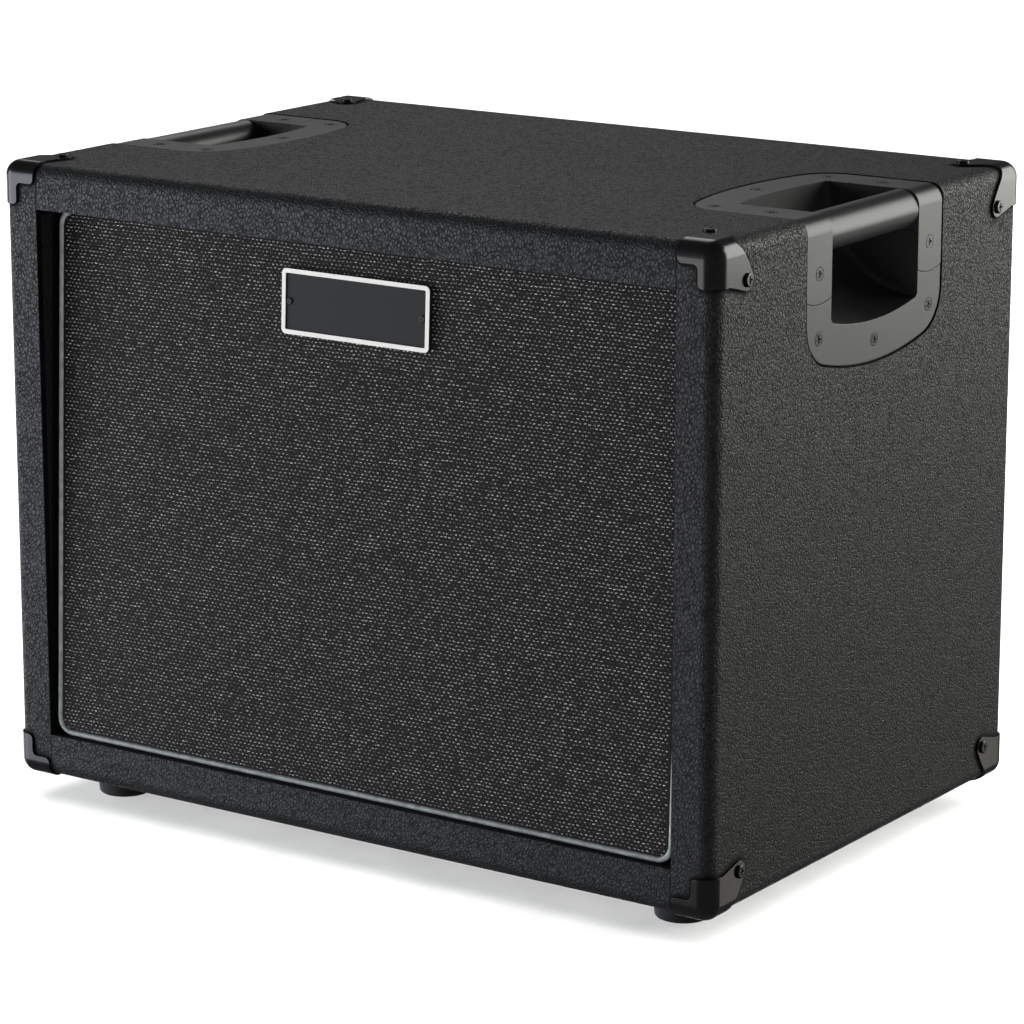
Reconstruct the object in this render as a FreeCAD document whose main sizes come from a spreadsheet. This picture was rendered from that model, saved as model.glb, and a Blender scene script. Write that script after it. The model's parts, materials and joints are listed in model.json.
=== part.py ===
import FreeCAD, Part
import math
import os
import re

from FreeCAD import Placement, Rotation, Vector

# A compact guitar speaker cabinet: one twelve-inch driver behind a slanted grille, corner handles, eight
# metal corners and four rubber feet.
# Millimetres; +X is the viewer's right, the front faces -Y, the floor is Z = 0.

SIZES = {
    # shell
    "cab_width": 480.0,
    "cab_depth": 327.0,
    "cab_height": 363.0,
    "edge_radius": 8.0,
    "panel_thickness": 18.0,
    "covering_thickness": 0.8,
    "stile_width": 24.6,
    "rail_width": 25.4,
    "trim_depth": 36.0,
    "fit_gap": 0.3,
    "seat_gap": 0.05,
    # back
    "back_recess": 10.0,
    "back_thickness": 15.0,
    "batten_size": 20.0,
    "back_screw_inset": 42.0,
    # slanted front
    "slant_angle": 2.5,
    "grille_depth": 12.1,
    "grille_side_gap": 1.6,
    "grille_end_gap": 0.3,
    "grille_corner": 9.0,
    "piping_radius": 1.6,
    "cloth_thickness": 0.6,
    "frame_thickness": 12.0,
    "frame_border": 24.0,
    "pad_thickness": 3.0,
    "pad_width": 16.0,
    "pad_length": 50.0,
    "pad_inset": 45.0,
    "baffle_thickness": 15.0,
    # badge
    "badge_width": 100.0,
    "badge_height": 36.5,
    "badge_corner": 3.0,
    "badge_drop": 62.0,
    "badge_thickness": 2.4,
    "badge_border": 2.5,
    "badge_relief": 0.9,
    "badge_screw_inset": 5.0,
    "badge_backing": 9.0,
    # corner protectors
    "protector_thickness": 1.3,
    "protector_leg_length": 23.5,
    "protector_leg_width": 11.0,
    "protector_leg_round": 3.0,
    "protector_ear_reach": 27.5,
    "protector_ear_drop": 21.8,
    "protector_ear_radius": 5.8,
    "protector_ear_tail": 15.0,
    "protector_ear_bow": 1.2,
    # corner handles
    "handle_width": 146.0,
    "handle_flange": 22.8,
    "handle_corner": 25.0,
    "handle_plate": 1.5,
    "handle_sink": 0.4,
    "handle_gap": 1.0,
    "mouth_reach": 64.2,
    "mouth_sag": 5.5,
    "mouth_corner": 4.0,
    "cup_wall": 2.5,
    "grip_radius": 10.9,
    "grip_centre": 11.1,
    "ear_width": 26.0,
    "ear_round": 9.0,
    "ear_block": 22.0,
    "ear_reach": 44.0,
    "ear_bulge": 2.6,
    "handle_edge_round": 0.7,
    "ear_screw_inset": 13.7,
    "flange_screw_inset": 21.4,
    "end_screw_inset": 11.5,
    "side_screw_inset": 13.2,
    # screws
    "screw_head_radius": 3.8,
    "screw_head_height": 1.6,
    "flush_head_depth": 1.35,
    "screw_shank_radius": 1.9,
    "screw_length": 14.0,
    "small_head_radius": 2.0,
    "small_head_height": 0.8,
    "small_shank_radius": 1.1,
    "small_length": 9.0,
    # feet
    "foot_radius": 17.0,
    "foot_taper": 1.5,
    "foot_height": 16.5,
    "foot_inset": 44.0,
    "foot_edge_round": 2.0,
    "foot_recess_radius": 6.0,
    "foot_recess_depth": 9.5,
    # jack
    "jack_height": 82.0,
    "jack_plate_width": 76.0,
    "jack_plate_height": 56.0,
    "jack_plate_thickness": 1.5,
    "jack_plate_corner": 5.0,
    "jack_hole_radius": 22.0,
    "jack_bush_radius": 4.75,
    "jack_bush_length": 8.0,
    "jack_bore_radius": 3.25,
    "jack_body_width": 20.0,
    "jack_body_length": 27.0,
    "jack_wall": 2.0,
    "jack_nut_radius": 6.8,
    "jack_nut_height": 2.6,
    "jack_tag_length": 9.0,
    "jack_tag_gauge": 0.6,
    "jack_screw_length": 12.0,
    "jack_screw_inset": 7.0,
    # loudspeaker: its flange fills the cabinet's height less a margin, and the other rims step in from it
    "flange_margin": 7.7,
    "cutout_inset": 13.5,
    "bolt_inset": 5.5,
    "bolt_count": 8.0,
    "bolt_radius": 2.4,
    "bolt_head_radius": 4.5,
    "bolt_head_height": 3.6,
    "tee_wall": 1.0,
    "tee_length": 9.0,
    "tee_flange_radius": 7.7,
    "tee_flange_gauge": 1.5,
    "gasket_inset": 10.0,
    "gasket_width": 11.0,
    "gasket_thickness": 3.0,
    "basket_gauge": 2.0,
    "surround_lip": 8.0,
    "surround_width": 7.0,
    "basket_rear_radius": 84.0,
    "basket_depth": 72.0,
    "basket_window_count": 6.0,
    "basket_window_width": 52.0,
    "basket_window_length": 44.0,
    "cone_depth": 50.0,
    "cone_gauge": 0.8,
    "dust_cap_radius": 38.0,
    "dust_cap_rise": 11.0,
    "coil_radius": 25.2,
    "former_gauge": 0.5,
    "winding_gauge": 0.6,
    "winding_length": 12.0,
    "coil_clearance": 0.7,
    "spider_margin": 8.0,
    "spider_gauge": 0.6,
    "spider_wave": 1.2,
    "spider_seat": 8.0,
    "spider_setback": 6.0,
    "spider_wave_count": 5.0,
    "top_plate_radius": 60.0,
    "top_plate_thickness": 8.0,
    "magnet_radius": 78.0,
    "magnet_bore_radius": 32.0,
    "magnet_thickness": 20.0,
    "yoke_thickness": 8.0,
    "terminal_width": 34.0,
    "terminal_height": 12.0,
    "terminal_gauge": 2.0,
    "terminal_pin_width": 4.0,
    "terminal_pin_length": 10.0,
    "terminal_pin_gauge": 0.8,
    # leads: how far each bend lies from the tag or the pin, and how far apart the pair runs
    "lead_radius": 1.2,
    "lead_lift": 4.0,
    "lead_exit": 20.0,
    "lead_dip": 1.0,
    "lead_fall_run": 44.0,
    "lead_fall": 14.0,
    "lead_landing": 76.0,
    "lead_lying": 120.0,
    "lead_rise_run": 46.0,
    "lead_pin_run": 20.0,
    "lead_splay": 3.0,
    "lead_spread_rear": 11.0,
    "lead_spread_middle": 9.0,
    "lead_spread_front": 8.0,
    "lead_sway": 0.2,
}

doc = FreeCAD.newDocument("speaker_cabinet")
sheet = doc.addObject("Spreadsheet::Sheet", "Sizes")
for row, (word, number) in enumerate(SIZES.items(), start=1):
    sheet.set(f"A{row}", word)
    sheet.set(f"B{row}", str(number))
    sheet.setAlias(f"B{row}", word)
doc.recompute()


class Cells:
    """The sheet's numbers by name, for the shapes that are made in code."""

    def __getattr__(self, word):
        return float(getattr(sheet, word))


size = Cells()
nodes = []

HALF_W = "cab_width / 2"
HALF_D = "cab_depth / 2"
FLOOR = "foot_height"
TOP = "(foot_height + cab_height)"
WALL = "(covering_thickness + panel_thickness)"
INNER_X = "(cab_width / 2 - covering_thickness - panel_thickness)"
INNER_LOW = "(foot_height + covering_thickness + panel_thickness)"
INNER_HIGH = "(foot_height + cab_height - covering_thickness - panel_thickness)"
ROOM_HEIGHT = f"({INNER_HIGH} - {INNER_LOW})"
BATTEN_BACK = "(cab_depth / 2 - back_recess - back_thickness)"
MOUTH_WIDTH = "(handle_width - 2 * ear_width)"


def bound(text):
    """Expression text with each of the sheet's words given the sheet's name."""
    return re.sub(r"\b([a-z]+(?:_[a-z]+)+)\b", r"Sizes.\1", text)


def keep(piece, label):
    """Marks a finished sub-part; its label names its file."""
    piece.Label = label
    nodes.append(piece)
    return piece


def box(name, extent, corner):
    """A block whose three sides and lowest corner are bound to the sheet."""
    piece = doc.addObject("Part::Box", name)
    for side, text in zip(("Length", "Width", "Height"), extent):
        piece.setExpression(side, bound(text))
    for axis, text in zip("xyz", corner):
        piece.setExpression(f"Placement.Base.{axis}", bound(text))
    return piece


def cylinder(name, radius, height):
    """A round bar standing at the origin, bound to the sheet."""
    piece = doc.addObject("Part::Cylinder", name)
    piece.setExpression("Radius", bound(radius))
    piece.setExpression("Height", bound(height))
    return piece


def solid(name, shape):
    """A piece whose shape is worked out in code from the sheet's numbers."""
    piece = doc.addObject("Part::Feature", name)
    piece.Shape = shape
    return piece


def cut(name, base, *tools):
    """The base with every tool taken away."""
    tool = tools[0] if len(tools) == 1 else group(name + "_tools", *tools)
    piece = doc.addObject("Part::Cut", name)
    piece.Base = base
    piece.Tool = tool
    return piece


def common(name, base, tool):
    """What the two pieces share."""
    piece = doc.addObject("Part::Common", name)
    piece.Base = base
    piece.Tool = tool
    return piece


def fuse(name, *pieces):
    """The pieces joined into one solid."""
    piece = doc.addObject("Part::MultiFuse", name)
    piece.Shapes = list(pieces)
    return piece


def group(name, *pieces):
    """Separate solids kept together in one node."""
    piece = doc.addObject("Part::Compound", name)
    piece.Links = list(pieces)
    return piece


def mirrored(name, source, normal, through):
    """A copy of a piece on the other side of a plane."""
    piece = doc.addObject("Part::Mirroring", name)
    piece.Source = source
    piece.Normal = normal
    piece.Base = through
    return piece


def face_of(*edges):
    """A flat face inside a closed run of edges."""
    return Part.Face(Part.Wire(Part.__sortEdges__(list(edges))))


def polygon(points):
    """A flat face inside straight lines through the points."""
    return Part.Face(Part.makePolygon(points + points[:1]))


def round_edges(shape, radius, chosen):
    """The shape with the edges that the test chooses rounded."""
    return shape.makeFillet(radius, [edge for edge in shape.Edges if chosen(edge)])


def rounded_block(name, grow):
    """The cabinet's block, grown outwards by an amount, with all twelve edges rounded."""
    extent = [f"{word} + 2 * ({grow})" for word in ("cab_width", "cab_depth", "cab_height")]
    lowest = (f"-{HALF_W} - ({grow})", f"-{HALF_D} - ({grow})", f"{FLOOR} - ({grow})")
    raw = box(name + "_raw", extent, lowest)
    doc.recompute()
    piece = doc.addObject("Part::Fillet", name)
    piece.Base = raw
    radius = size.edge_radius + (raw.Length.Value - size.cab_width) / 2
    piece.Edges = [(number, radius, radius) for number in range(1, len(raw.Shape.Edges) + 1)]
    return piece


# Screws
# Pan heads, and flush ones on the handles, with a cross recess. These are the shares of the head that its
# rounded rim and its recess take.
RIM_ROUND = 0.6
RECESS_SPAN = 1.1
RECESS_ARM = 0.28
RECESS_DEPTH = 0.5


def cross_recess(head_radius, head_height):
    """The cross that a driver turns, let into the top of a head that stands on the origin."""
    long, arm = head_radius * RECESS_SPAN, head_radius * RECESS_ARM
    floor_of_recess = head_height * (1 - RECESS_DEPTH)
    slot = Part.makeBox(long, arm, head_height, Vector(-long / 2, -arm / 2, floor_of_recess))
    cross = slot.copy()
    cross.rotate(Vector(), Vector(0, 0, 1), 90)
    return slot.fuse(cross)


def screw_shape(head_radius, head_height, shank_radius, length):
    """One screw, its seat at the origin and its head up +Z."""
    head = Part.makeCylinder(head_radius, head_height)
    head = round_edges(head, head_height * RIM_ROUND, lambda edge: edge.BoundBox.ZMin > head_height / 2)
    shank = Part.makeCylinder(shank_radius, length, Vector(), Vector(0, 0, -1))
    return head.fuse(shank).removeSplitter().cut(cross_recess(head_radius, head_height))


def flush_screw(length):
    """A countersunk screw of the usual gauge, its flat head's face at the origin."""
    depth = size.flush_head_depth
    low = Vector(0, 0, -depth)
    head = Part.makeCone(size.screw_shank_radius, size.screw_head_radius, depth, low)
    cross = cross_recess(size.screw_head_radius, depth)
    cross.translate(low)
    shank = Part.makeCylinder(size.screw_shank_radius, length - depth, low, Vector(0, 0, -1))
    return head.fuse(shank).removeSplitter().cut(cross)


def wood_screw(length):
    """A screw of the usual gauge."""
    return screw_shape(size.screw_head_radius, size.screw_head_height, size.screw_shank_radius, length)


def small_screw():
    """One of the badge's small screws."""
    return screw_shape(size.small_head_radius, size.small_head_height, size.small_shank_radius,
                       size.small_length)


def set_out(shape, seats):
    """Copies of a shape, one on each seat: a point and the way the head faces."""
    copies = []
    for point, outward in seats:
        copy = shape.copy()
        copy.Placement = Placement(point, Rotation(Vector(0, 0, 1), outward))
        copies.append(copy)
    return Part.makeCompound(copies)


def pilot_holes(name, seats, length, flush=False):
    """Holes that the shanks run in, a little larger than the shanks, countersunk for flush heads."""
    radius = size.screw_shank_radius + size.seat_gap
    clear = size.covering_thickness + size.panel_thickness
    bar = Part.makeCylinder(radius, length + size.seat_gap + clear, Vector(0, 0, clear), Vector(0, 0, -1))
    if flush:
        rim = size.screw_head_radius + size.fit_gap
        bar = bar.fuse(Part.makeCone(radius, rim, size.flush_head_depth, Vector(0, 0, -size.flush_head_depth)))
    return solid(name, set_out(bar, seats))


half_w = size.cab_width / 2
half_d = size.cab_depth / 2
floor = size.foot_height
top = size.foot_height + size.cab_height
middle = floor + size.cab_height / 2

# Where the screws go
# Corner screws: one in each ear of the eight corners, on the top, the bottom and the two sides.
protector_face = size.seat_gap + size.protector_thickness
corner_seats = []
for sx in (-1, 1):
    for sy in (-1, 1):
        for sz in (-1, 1):
            ear_y = sy * (half_d - size.protector_ear_reach)
            level = middle + sz * (size.cab_height / 2 + protector_face)
            ear_x = sx * (half_w - size.protector_ear_drop)
            corner_seats.append((Vector(ear_x, ear_y, level), Vector(0, 0, sz)))
            side = sx * (half_w + protector_face)
            drop = middle + sz * (size.cab_height / 2 - size.protector_ear_drop)
            corner_seats.append((Vector(side, ear_y, drop), Vector(sx, 0, 0)))

# Handle screws: five on the top and five on the side of each handle, two of them through the grip's ears.
handle_reach = size.mouth_reach + size.handle_flange
screw_rows = (size.ear_reach - size.ear_screw_inset, handle_reach - size.flange_screw_inset)
handle_screw_side = size.handle_width / 2 - size.side_screw_inset
handle_side = half_w - size.handle_sink
handle_top = top - size.handle_sink
handle_seats = []
for sx in (-1, 1):
    marks = [(handle_reach - size.end_screw_inset, 0.0)]
    marks += [(reach, sy * handle_screw_side) for sy in (-1, 1) for reach in screw_rows]
    for reach, along in marks:
        handle_seats.append((Vector(sx * (handle_side - reach), along, handle_top), Vector(0, 0, 1)))
        handle_seats.append((Vector(sx * handle_side, along, handle_top - reach), Vector(sx, 0, 0)))

# Back panel screws: two on each upright and three along the top and the bottom, into the battens' middle.
back_face = half_d - size.back_recess
back_x = half_w - size.covering_thickness - size.panel_thickness - size.batten_size / 2
back_z = size.cab_height / 2 - size.covering_thickness - size.panel_thickness - size.batten_size / 2
back_marks = [(sx * back_x, middle + sz * back_z / 3) for sx in (-1, 1) for sz in (-1, 1)]
cross_x = back_x - size.back_screw_inset
back_marks += [(step * cross_x, middle + sz * back_z) for step in (-1, 0, 1) for sz in (-1, 1)]
back_seats = [(Vector(x, back_face, z), Vector(0, 1, 0)) for x, z in back_marks]

# Feet and their screws.
foot_places = {
    "front_left_foot": (-1, -1),
    "front_right_foot": (1, -1),
    "rear_left_foot": (-1, 1),
    "rear_right_foot": (1, 1),
}
foot_x = half_w - size.foot_inset
foot_y = half_d - size.foot_inset
foot_seats = [(Vector(sx * foot_x, sy * foot_y, size.foot_recess_depth), Vector(0, 0, -1))
              for sx, sy in foot_places.values()]

shell_holes = [
    pilot_holes("corner_holes", corner_seats, size.screw_length),
    pilot_holes("handle_holes", handle_seats, size.screw_length, flush=True),
]
foot_holes = pilot_holes("foot_holes", foot_seats, size.screw_length)

# Room for the handles
# Each handle has its own frame at the edge that it wraps. Its outer faces lie a little below the cabinet's.
half_handle = size.handle_width / 2
half_mouth = half_handle - size.ear_width


def flat(u, y):
    """A point on the handle's top face: u in from the edge, with the edge at the origin."""
    return Vector(-u, y, 0)


def to_side(shape):
    """The same shape on the side face, swapped across the edge's diagonal."""
    return shape.mirror(Vector(), Vector(1, 0, -1))


def far_arc(extra, half):
    """The bowed far edge of the mouth, grown by an amount, between two ends across it."""
    bow = (half_mouth ** 2 + size.mouth_sag ** 2) / (2 * size.mouth_sag) + extra
    sag = bow - math.sqrt(bow ** 2 - half ** 2)
    reach = size.mouth_reach + extra
    return Part.Arc(flat(reach - sag, -half), flat(reach, 0), flat(reach - sag, half)).toShape(), reach - sag


def bowed_face(near, extra, half):
    """A face from a straight near edge to the bowed far edge."""
    arc, end = far_arc(extra, half)
    return face_of(arc, Part.makeLine(flat(end, half), flat(near, half)),
                   Part.makeLine(flat(near, half), flat(near, -half)),
                   Part.makeLine(flat(near, -half), flat(end, -half)))


def flange_block(near, grow, low, high):
    """The flange's outline grown by an amount, between two levels, with its far corners rounded."""
    face = bowed_face(near, size.handle_flange + grow, half_handle + grow)
    face.translate(Vector(0, 0, low))
    return round_edges(face.extrude(Vector(0, 0, high - low)), size.handle_corner + grow,
                       lambda edge: edge.BoundBox.ZLength > (high - low) / 2
                       and edge.BoundBox.XMax < -size.ear_reach)


def flange_seats(name, lining):
    """The shallow seats of both handles' flanges, with room for a lining."""
    above = size.handle_sink + size.fit_gap
    seat = flange_block(-above, size.handle_gap + lining, -size.handle_plate - lining, above)
    seat = seat.fuse(to_side(seat))
    seat.translate(Vector(handle_side, 0, handle_top))
    return solid(name, Part.makeCompound([seat, seat.mirror(Vector(), Vector(1, 0, 0))]))


def edge_hollows(name, reach, width):
    """A square hollow in both top side edges: how far it reaches from each face, and how long it is."""
    lows = {"left": f"-{HALF_W} - fit_gap", "right": f"{HALF_W} - {reach}"}
    return [box(f"{side_name}_{name}", (f"{reach} + fit_gap", width, f"{reach} + fit_gap"),
                (low, f"-{width} / 2", f"{TOP} - {reach}"))
            for side_name, low in lows.items()]


EAR_ROOM = "(ear_block + fit_gap + handle_sink)"
cup_hollows = edge_hollows("cup_hollow", "(mouth_reach + cup_wall + fit_gap + handle_sink)",
                           f"({MOUTH_WIDTH} + 2 * cup_wall + 2 * fit_gap)")
ear_hollows = edge_hollows("ear_hollow", EAR_ROOM, "(handle_width + 2 * handle_gap)")
ear_rebates = edge_hollows("ear_rebate", EAR_ROOM, "(handle_width + 2 * handle_gap + 2 * covering_thickness)")

# Shell blocks
# The covered block, the bare wood inside the covering, and the room left inside the panels. The wood is
# rebated for the handles, and the covering lines the rebates.
covered = rounded_block("covered", "0")
rebated = cut("rebated", rounded_block("wood", "-covering_thickness"), *ear_rebates)
bare = cut("bare", rebated, flange_seats("wood_seats", size.covering_thickness))
room = box("room", (f"2 * {INNER_X}", "cab_depth", ROOM_HEIGHT),
           (f"-{INNER_X}", f"-{HALF_D}", INNER_LOW))

# Panels
# Eighteen millimetre plywood: the top and bottom run right across, and the sides stand between them.
panel_boxes = {
    "top_panel": (("cab_width", "cab_depth", WALL), (f"-{HALF_W}", f"-{HALF_D}", INNER_HIGH)),
    "bottom_panel": (("cab_width", "cab_depth", WALL), (f"-{HALF_W}", f"-{HALF_D}", FLOOR)),
    "left_side_panel": ((WALL, "cab_depth", ROOM_HEIGHT), (f"-{HALF_W}", f"-{HALF_D}", INNER_LOW)),
    "right_side_panel": ((WALL, "cab_depth", ROOM_HEIGHT), (INNER_X, f"-{HALF_D}", INNER_LOW)),
}
for label, (extent, corner) in panel_boxes.items():
    blank = common(label + "_blank", bare, box(label + "_raw", extent, corner))
    tools = shell_holes + ([foot_holes] if label == "bottom_panel" else cup_hollows)
    keep(cut(label, blank, *tools), label)

# The slanted front
# Everything on the front leans back: its own frame has x across, y into the cabinet and z up the slope.
front = -half_d
tilt = Placement(Vector(0, front + size.grille_depth, middle), Rotation(Vector(1, 0, 0), -size.slant_angle))
opening_w = size.cab_width - 2 * size.stile_width
opening_h = size.cab_height - 2 * size.rail_width
baffle_face = size.frame_thickness + size.pad_thickness
baffle_back = baffle_face + size.baffle_thickness
span = size.cab_width + size.cab_height


def on_slope(piece, point=Vector(), turn=Rotation()):
    """Sets a piece that was made in the slanted front's own frame."""
    piece.Placement = tilt.multiply(Placement(point, turn))
    return piece


def slab(name, near, far):
    """A slanted layer between two depths of the front's own frame, wider than the cabinet."""
    layer = Part.makeBox(span, far - near, span, Vector(-span / 2, near, -span / 2))
    return on_slope(solid(name, layer))


FACE_IN_TURN = Rotation(Vector(1, 0, 0), -90)
behind_baffle = slab("behind_baffle", baffle_face, baffle_face + span)

# Front trim
# Thin strips glued inside the panels' front edges; they make the border round the grille wide.
TRIM_Y = f"-{HALF_D} + covering_thickness"
TRIM_LOW = f"{FLOOR} + rail_width - covering_thickness"
across = (f"2 * {INNER_X}", "trim_depth", f"rail_width - covering_thickness - {WALL}")
upright = (f"stile_width - covering_thickness - {WALL}", "trim_depth",
           "cab_height - 2 * rail_width + 2 * covering_thickness")
strips = {
    "front_top_trim": (across, (f"-{INNER_X}", TRIM_Y, f"{TOP} - rail_width + covering_thickness")),
    "front_bottom_trim": (across, (f"-{INNER_X}", TRIM_Y, INNER_LOW)),
    "front_left_trim": (upright, (f"-{INNER_X}", TRIM_Y, TRIM_LOW)),
    "front_right_trim": (upright, (f"{HALF_W} - stile_width + covering_thickness", TRIM_Y, TRIM_LOW)),
}
for label, (extent, corner) in strips.items():
    keep(cut(label, box(label + "_raw", extent, corner), behind_baffle), label)

# Vinyl covering
# One skin over the shell, turned in round the front opening and round the back rim.
front_lining = box("front_lining",
                   ("cab_width - 2 * stile_width + 2 * covering_thickness", "trim_depth + covering_thickness",
                    "cab_height - 2 * rail_width + 2 * covering_thickness"),
                   (f"-{HALF_W} + stile_width - covering_thickness", f"-{HALF_D}", TRIM_LOW))
front_opening = box("front_opening",
                    ("cab_width - 2 * stile_width", "cab_depth / 2", "cab_height - 2 * rail_width"),
                    (f"-{HALF_W} + stile_width", f"-{HALF_D} - covering_thickness", f"{FLOOR} + rail_width"))
rear_lining = box("rear_lining", (f"2 * {INNER_X}", "back_recess + back_thickness", ROOM_HEIGHT),
                  (f"-{INNER_X}", BATTEN_BACK, INNER_LOW))
rear_opening = box("rear_opening",
                   (f"2 * {INNER_X} - 2 * covering_thickness", "cab_depth / 2",
                    f"{ROOM_HEIGHT} - 2 * covering_thickness"),
                   (f"-{INNER_X} + covering_thickness", "covering_thickness",
                    f"{INNER_LOW} + covering_thickness"))
skin = cut("skin", covered, bare)
front_sleeve = cut("front_sleeve", front_lining, behind_baffle)
skin_blank = fuse("skin_and_linings", skin, front_sleeve, rear_lining)
skin_tools = fuse("skin_tools", front_opening, rear_opening, *cup_hollows, *ear_hollows,
                  flange_seats("lined_seats", 0))
keep(cut("vinyl_covering", skin_blank, skin_tools, *shell_holes, foot_holes), "vinyl_covering")

# Back panel
# A plain closed board, set into the rear rim on four battens and screwed to them.
back_screw_length = size.screw_length + size.back_thickness
back_holes = pilot_holes("back_holes", back_seats, back_screw_length)
back_blank = box("back_blank",
                 (f"2 * {INNER_X} - 2 * covering_thickness - 2 * fit_gap", "back_thickness",
                  f"{ROOM_HEIGHT} - 2 * covering_thickness - 2 * fit_gap"),
                 (f"-{INNER_X} + covering_thickness + fit_gap", BATTEN_BACK,
                  f"{INNER_LOW} + covering_thickness + fit_gap"))
jack_z = floor + size.jack_height
jack_bar = Part.makeCylinder(size.jack_hole_radius, size.cab_depth, Vector(0, 0, jack_z), Vector(0, 1, 0))
jack_hole = solid("jack_hole", jack_bar)
jack_seats = [
    (Vector(sx * (size.jack_plate_width / 2 - size.jack_screw_inset), back_face + size.jack_plate_thickness,
            jack_z + sz * (size.jack_plate_height / 2 - size.jack_screw_inset)), Vector(0, 1, 0))
    for sx in (-1, 1) for sz in (-1, 1)
]
jack_screw_holes = pilot_holes("jack_screw_holes", jack_seats, size.jack_screw_length)
keep(cut("back_panel", back_blank, back_holes, jack_hole, jack_screw_holes), "back_panel")

uprights = [box(f"back_batten_{side_name}", ("batten_size", "batten_size", ROOM_HEIGHT),
                (x, f"{BATTEN_BACK} - batten_size", INNER_LOW))
            for side_name, x in (("left", f"-{INNER_X}"), ("right", f"{INNER_X} - batten_size"))]
crossings = [box(f"back_batten_{level}", (f"2 * {INNER_X} - 2 * batten_size", "batten_size", "batten_size"),
                 (f"-{INNER_X} + batten_size", f"{BATTEN_BACK} - batten_size", z))
             for level, z in (("low", INNER_LOW), ("high", f"{INNER_HIGH} - batten_size"))]
keep(cut("back_battens", group("back_batten_set", *uprights, *crossings), back_holes), "back_battens")
keep(solid("back_panel_screws", set_out(wood_screw(back_screw_length), back_seats)), "back_panel_screws")

# Baffle
# A slanted plywood board behind the trim, screwed from the front into a batten on each side panel.
snug_room = box("snug_room",
                (f"2 * {INNER_X} - 2 * fit_gap", "cab_depth", f"{ROOM_HEIGHT} - 2 * fit_gap"),
                (f"-{INNER_X} + fit_gap", f"-{HALF_D}", f"{INNER_LOW} + fit_gap"))
baffle_blank = common("baffle_blank", slab("baffle_slab", baffle_face, baffle_back), snug_room)
room_half_w = half_w - size.covering_thickness - size.panel_thickness
room_half_h = size.cab_height / 2 - size.covering_thickness - size.panel_thickness
flange_radius = room_half_h - size.flange_margin
cutout_radius = flange_radius - size.cutout_inset
cutout = on_slope(solid("cutout", Part.makeCylinder(cutout_radius, span, Vector(), Vector(0, 1, 0))))
baffle_screw_x = room_half_w - size.batten_size / 2
baffle_outward = tilt.Rotation.multVec(Vector(0, -1, 0))
baffle_seats = [
    (tilt.multVec(Vector(sx * baffle_screw_x, baffle_face, step * size.cab_height / 4)), baffle_outward)
    for sx in (-1, 1) for step in (-1, 0, 1)
]
baffle_screw_length = size.baffle_thickness + size.screw_length
baffle_holes = pilot_holes("baffle_holes", baffle_seats, baffle_screw_length)
bolt_step = 2 * math.pi / size.bolt_count
bolt_points = []
for number in range(int(size.bolt_count)):
    turn = (number + 0.5) * bolt_step
    bolt_points.append(Vector(math.cos(turn), 0, math.sin(turn)) * (flange_radius - size.bolt_inset))
tee_barrel_radius = size.bolt_radius + size.tee_wall
bar_length = size.baffle_thickness + 2 * size.pad_thickness
bolt_bars = [Part.makeCylinder(tee_barrel_radius + size.seat_gap, bar_length,
                               p + Vector(0, baffle_face - size.pad_thickness, 0), Vector(0, 1, 0))
             for p in bolt_points]
bolt_holes = on_slope(solid("bolt_holes", Part.makeCompound(bolt_bars)))
keep(cut("baffle", baffle_blank, cutout, baffle_holes, bolt_holes), "baffle")

batten_slab = common("batten_slab", slab("batten_layer", baffle_back, baffle_back + size.batten_size), room)
batten_core = box("batten_core", (f"2 * {INNER_X} - 2 * batten_size", "cab_depth", ROOM_HEIGHT),
                  (f"-{INNER_X} + batten_size", f"-{HALF_D}", INNER_LOW))
batten_pair = cut("baffle_batten_pair", batten_slab, batten_core)
keep(cut("baffle_battens", batten_pair, baffle_holes), "baffle_battens")
keep(solid("baffle_screws", set_out(wood_screw(baffle_screw_length), baffle_seats)), "baffle_screws")

# Grille
# A cloth-covered wooden frame with a round piping along its edge, held on the baffle by hook-and-loop pads.
piping_room = 2 * size.piping_radius + size.seat_gap
cloth_w = opening_w - 2 * (size.grille_side_gap + piping_room)
cloth_h = opening_h - 2 * (size.grille_end_gap + piping_room)
frame_w = cloth_w - 2 * size.cloth_thickness
frame_h = cloth_h - 2 * size.cloth_thickness


def upright_block(width, height, near, far, corner):
    """A block between two depths of the front's own frame, its four long edges rounded."""
    block = Part.makeBox(width, far - near, height, Vector(-width / 2, near, -height / 2))
    return round_edges(block, corner, lambda edge: abs(edge.tangentAt(edge.FirstParameter).y) > 0.9)


cloth_corner = size.grille_corner - size.piping_radius
frame_corner = cloth_corner - size.cloth_thickness
badge_z = size.cab_height / 2 - size.badge_drop
frame_shape = upright_block(frame_w, frame_h, 0, size.frame_thickness, frame_corner)
window = upright_block(frame_w - 2 * size.frame_border, frame_h - 2 * size.frame_border,
                       -size.frame_thickness, 2 * size.frame_thickness, frame_corner)
tab_top = frame_h / 2
tab_low = badge_z - size.badge_height / 2
tab_half = size.badge_width / 2 + size.badge_backing
tab = Part.makeBox(2 * tab_half, 3 * size.frame_thickness, tab_top - tab_low,
                   Vector(-tab_half, -size.frame_thickness, tab_low))
badge_screw_x = size.badge_width / 2 - size.badge_screw_inset
badge_points = [Vector(sx * badge_screw_x, 0, badge_z) for sx in (-1, 1)]
badge_holes = [Part.makeCylinder(size.small_shank_radius + size.seat_gap, 2 * size.frame_thickness,
                                 p - Vector(0, size.frame_thickness, 0), Vector(0, 1, 0))
               for p in badge_points]
frame_shape = frame_shape.cut(window.cut(tab)).cut(Part.makeCompound(badge_holes))
keep(on_slope(solid("grille_frame", frame_shape)), "grille_frame")

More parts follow.
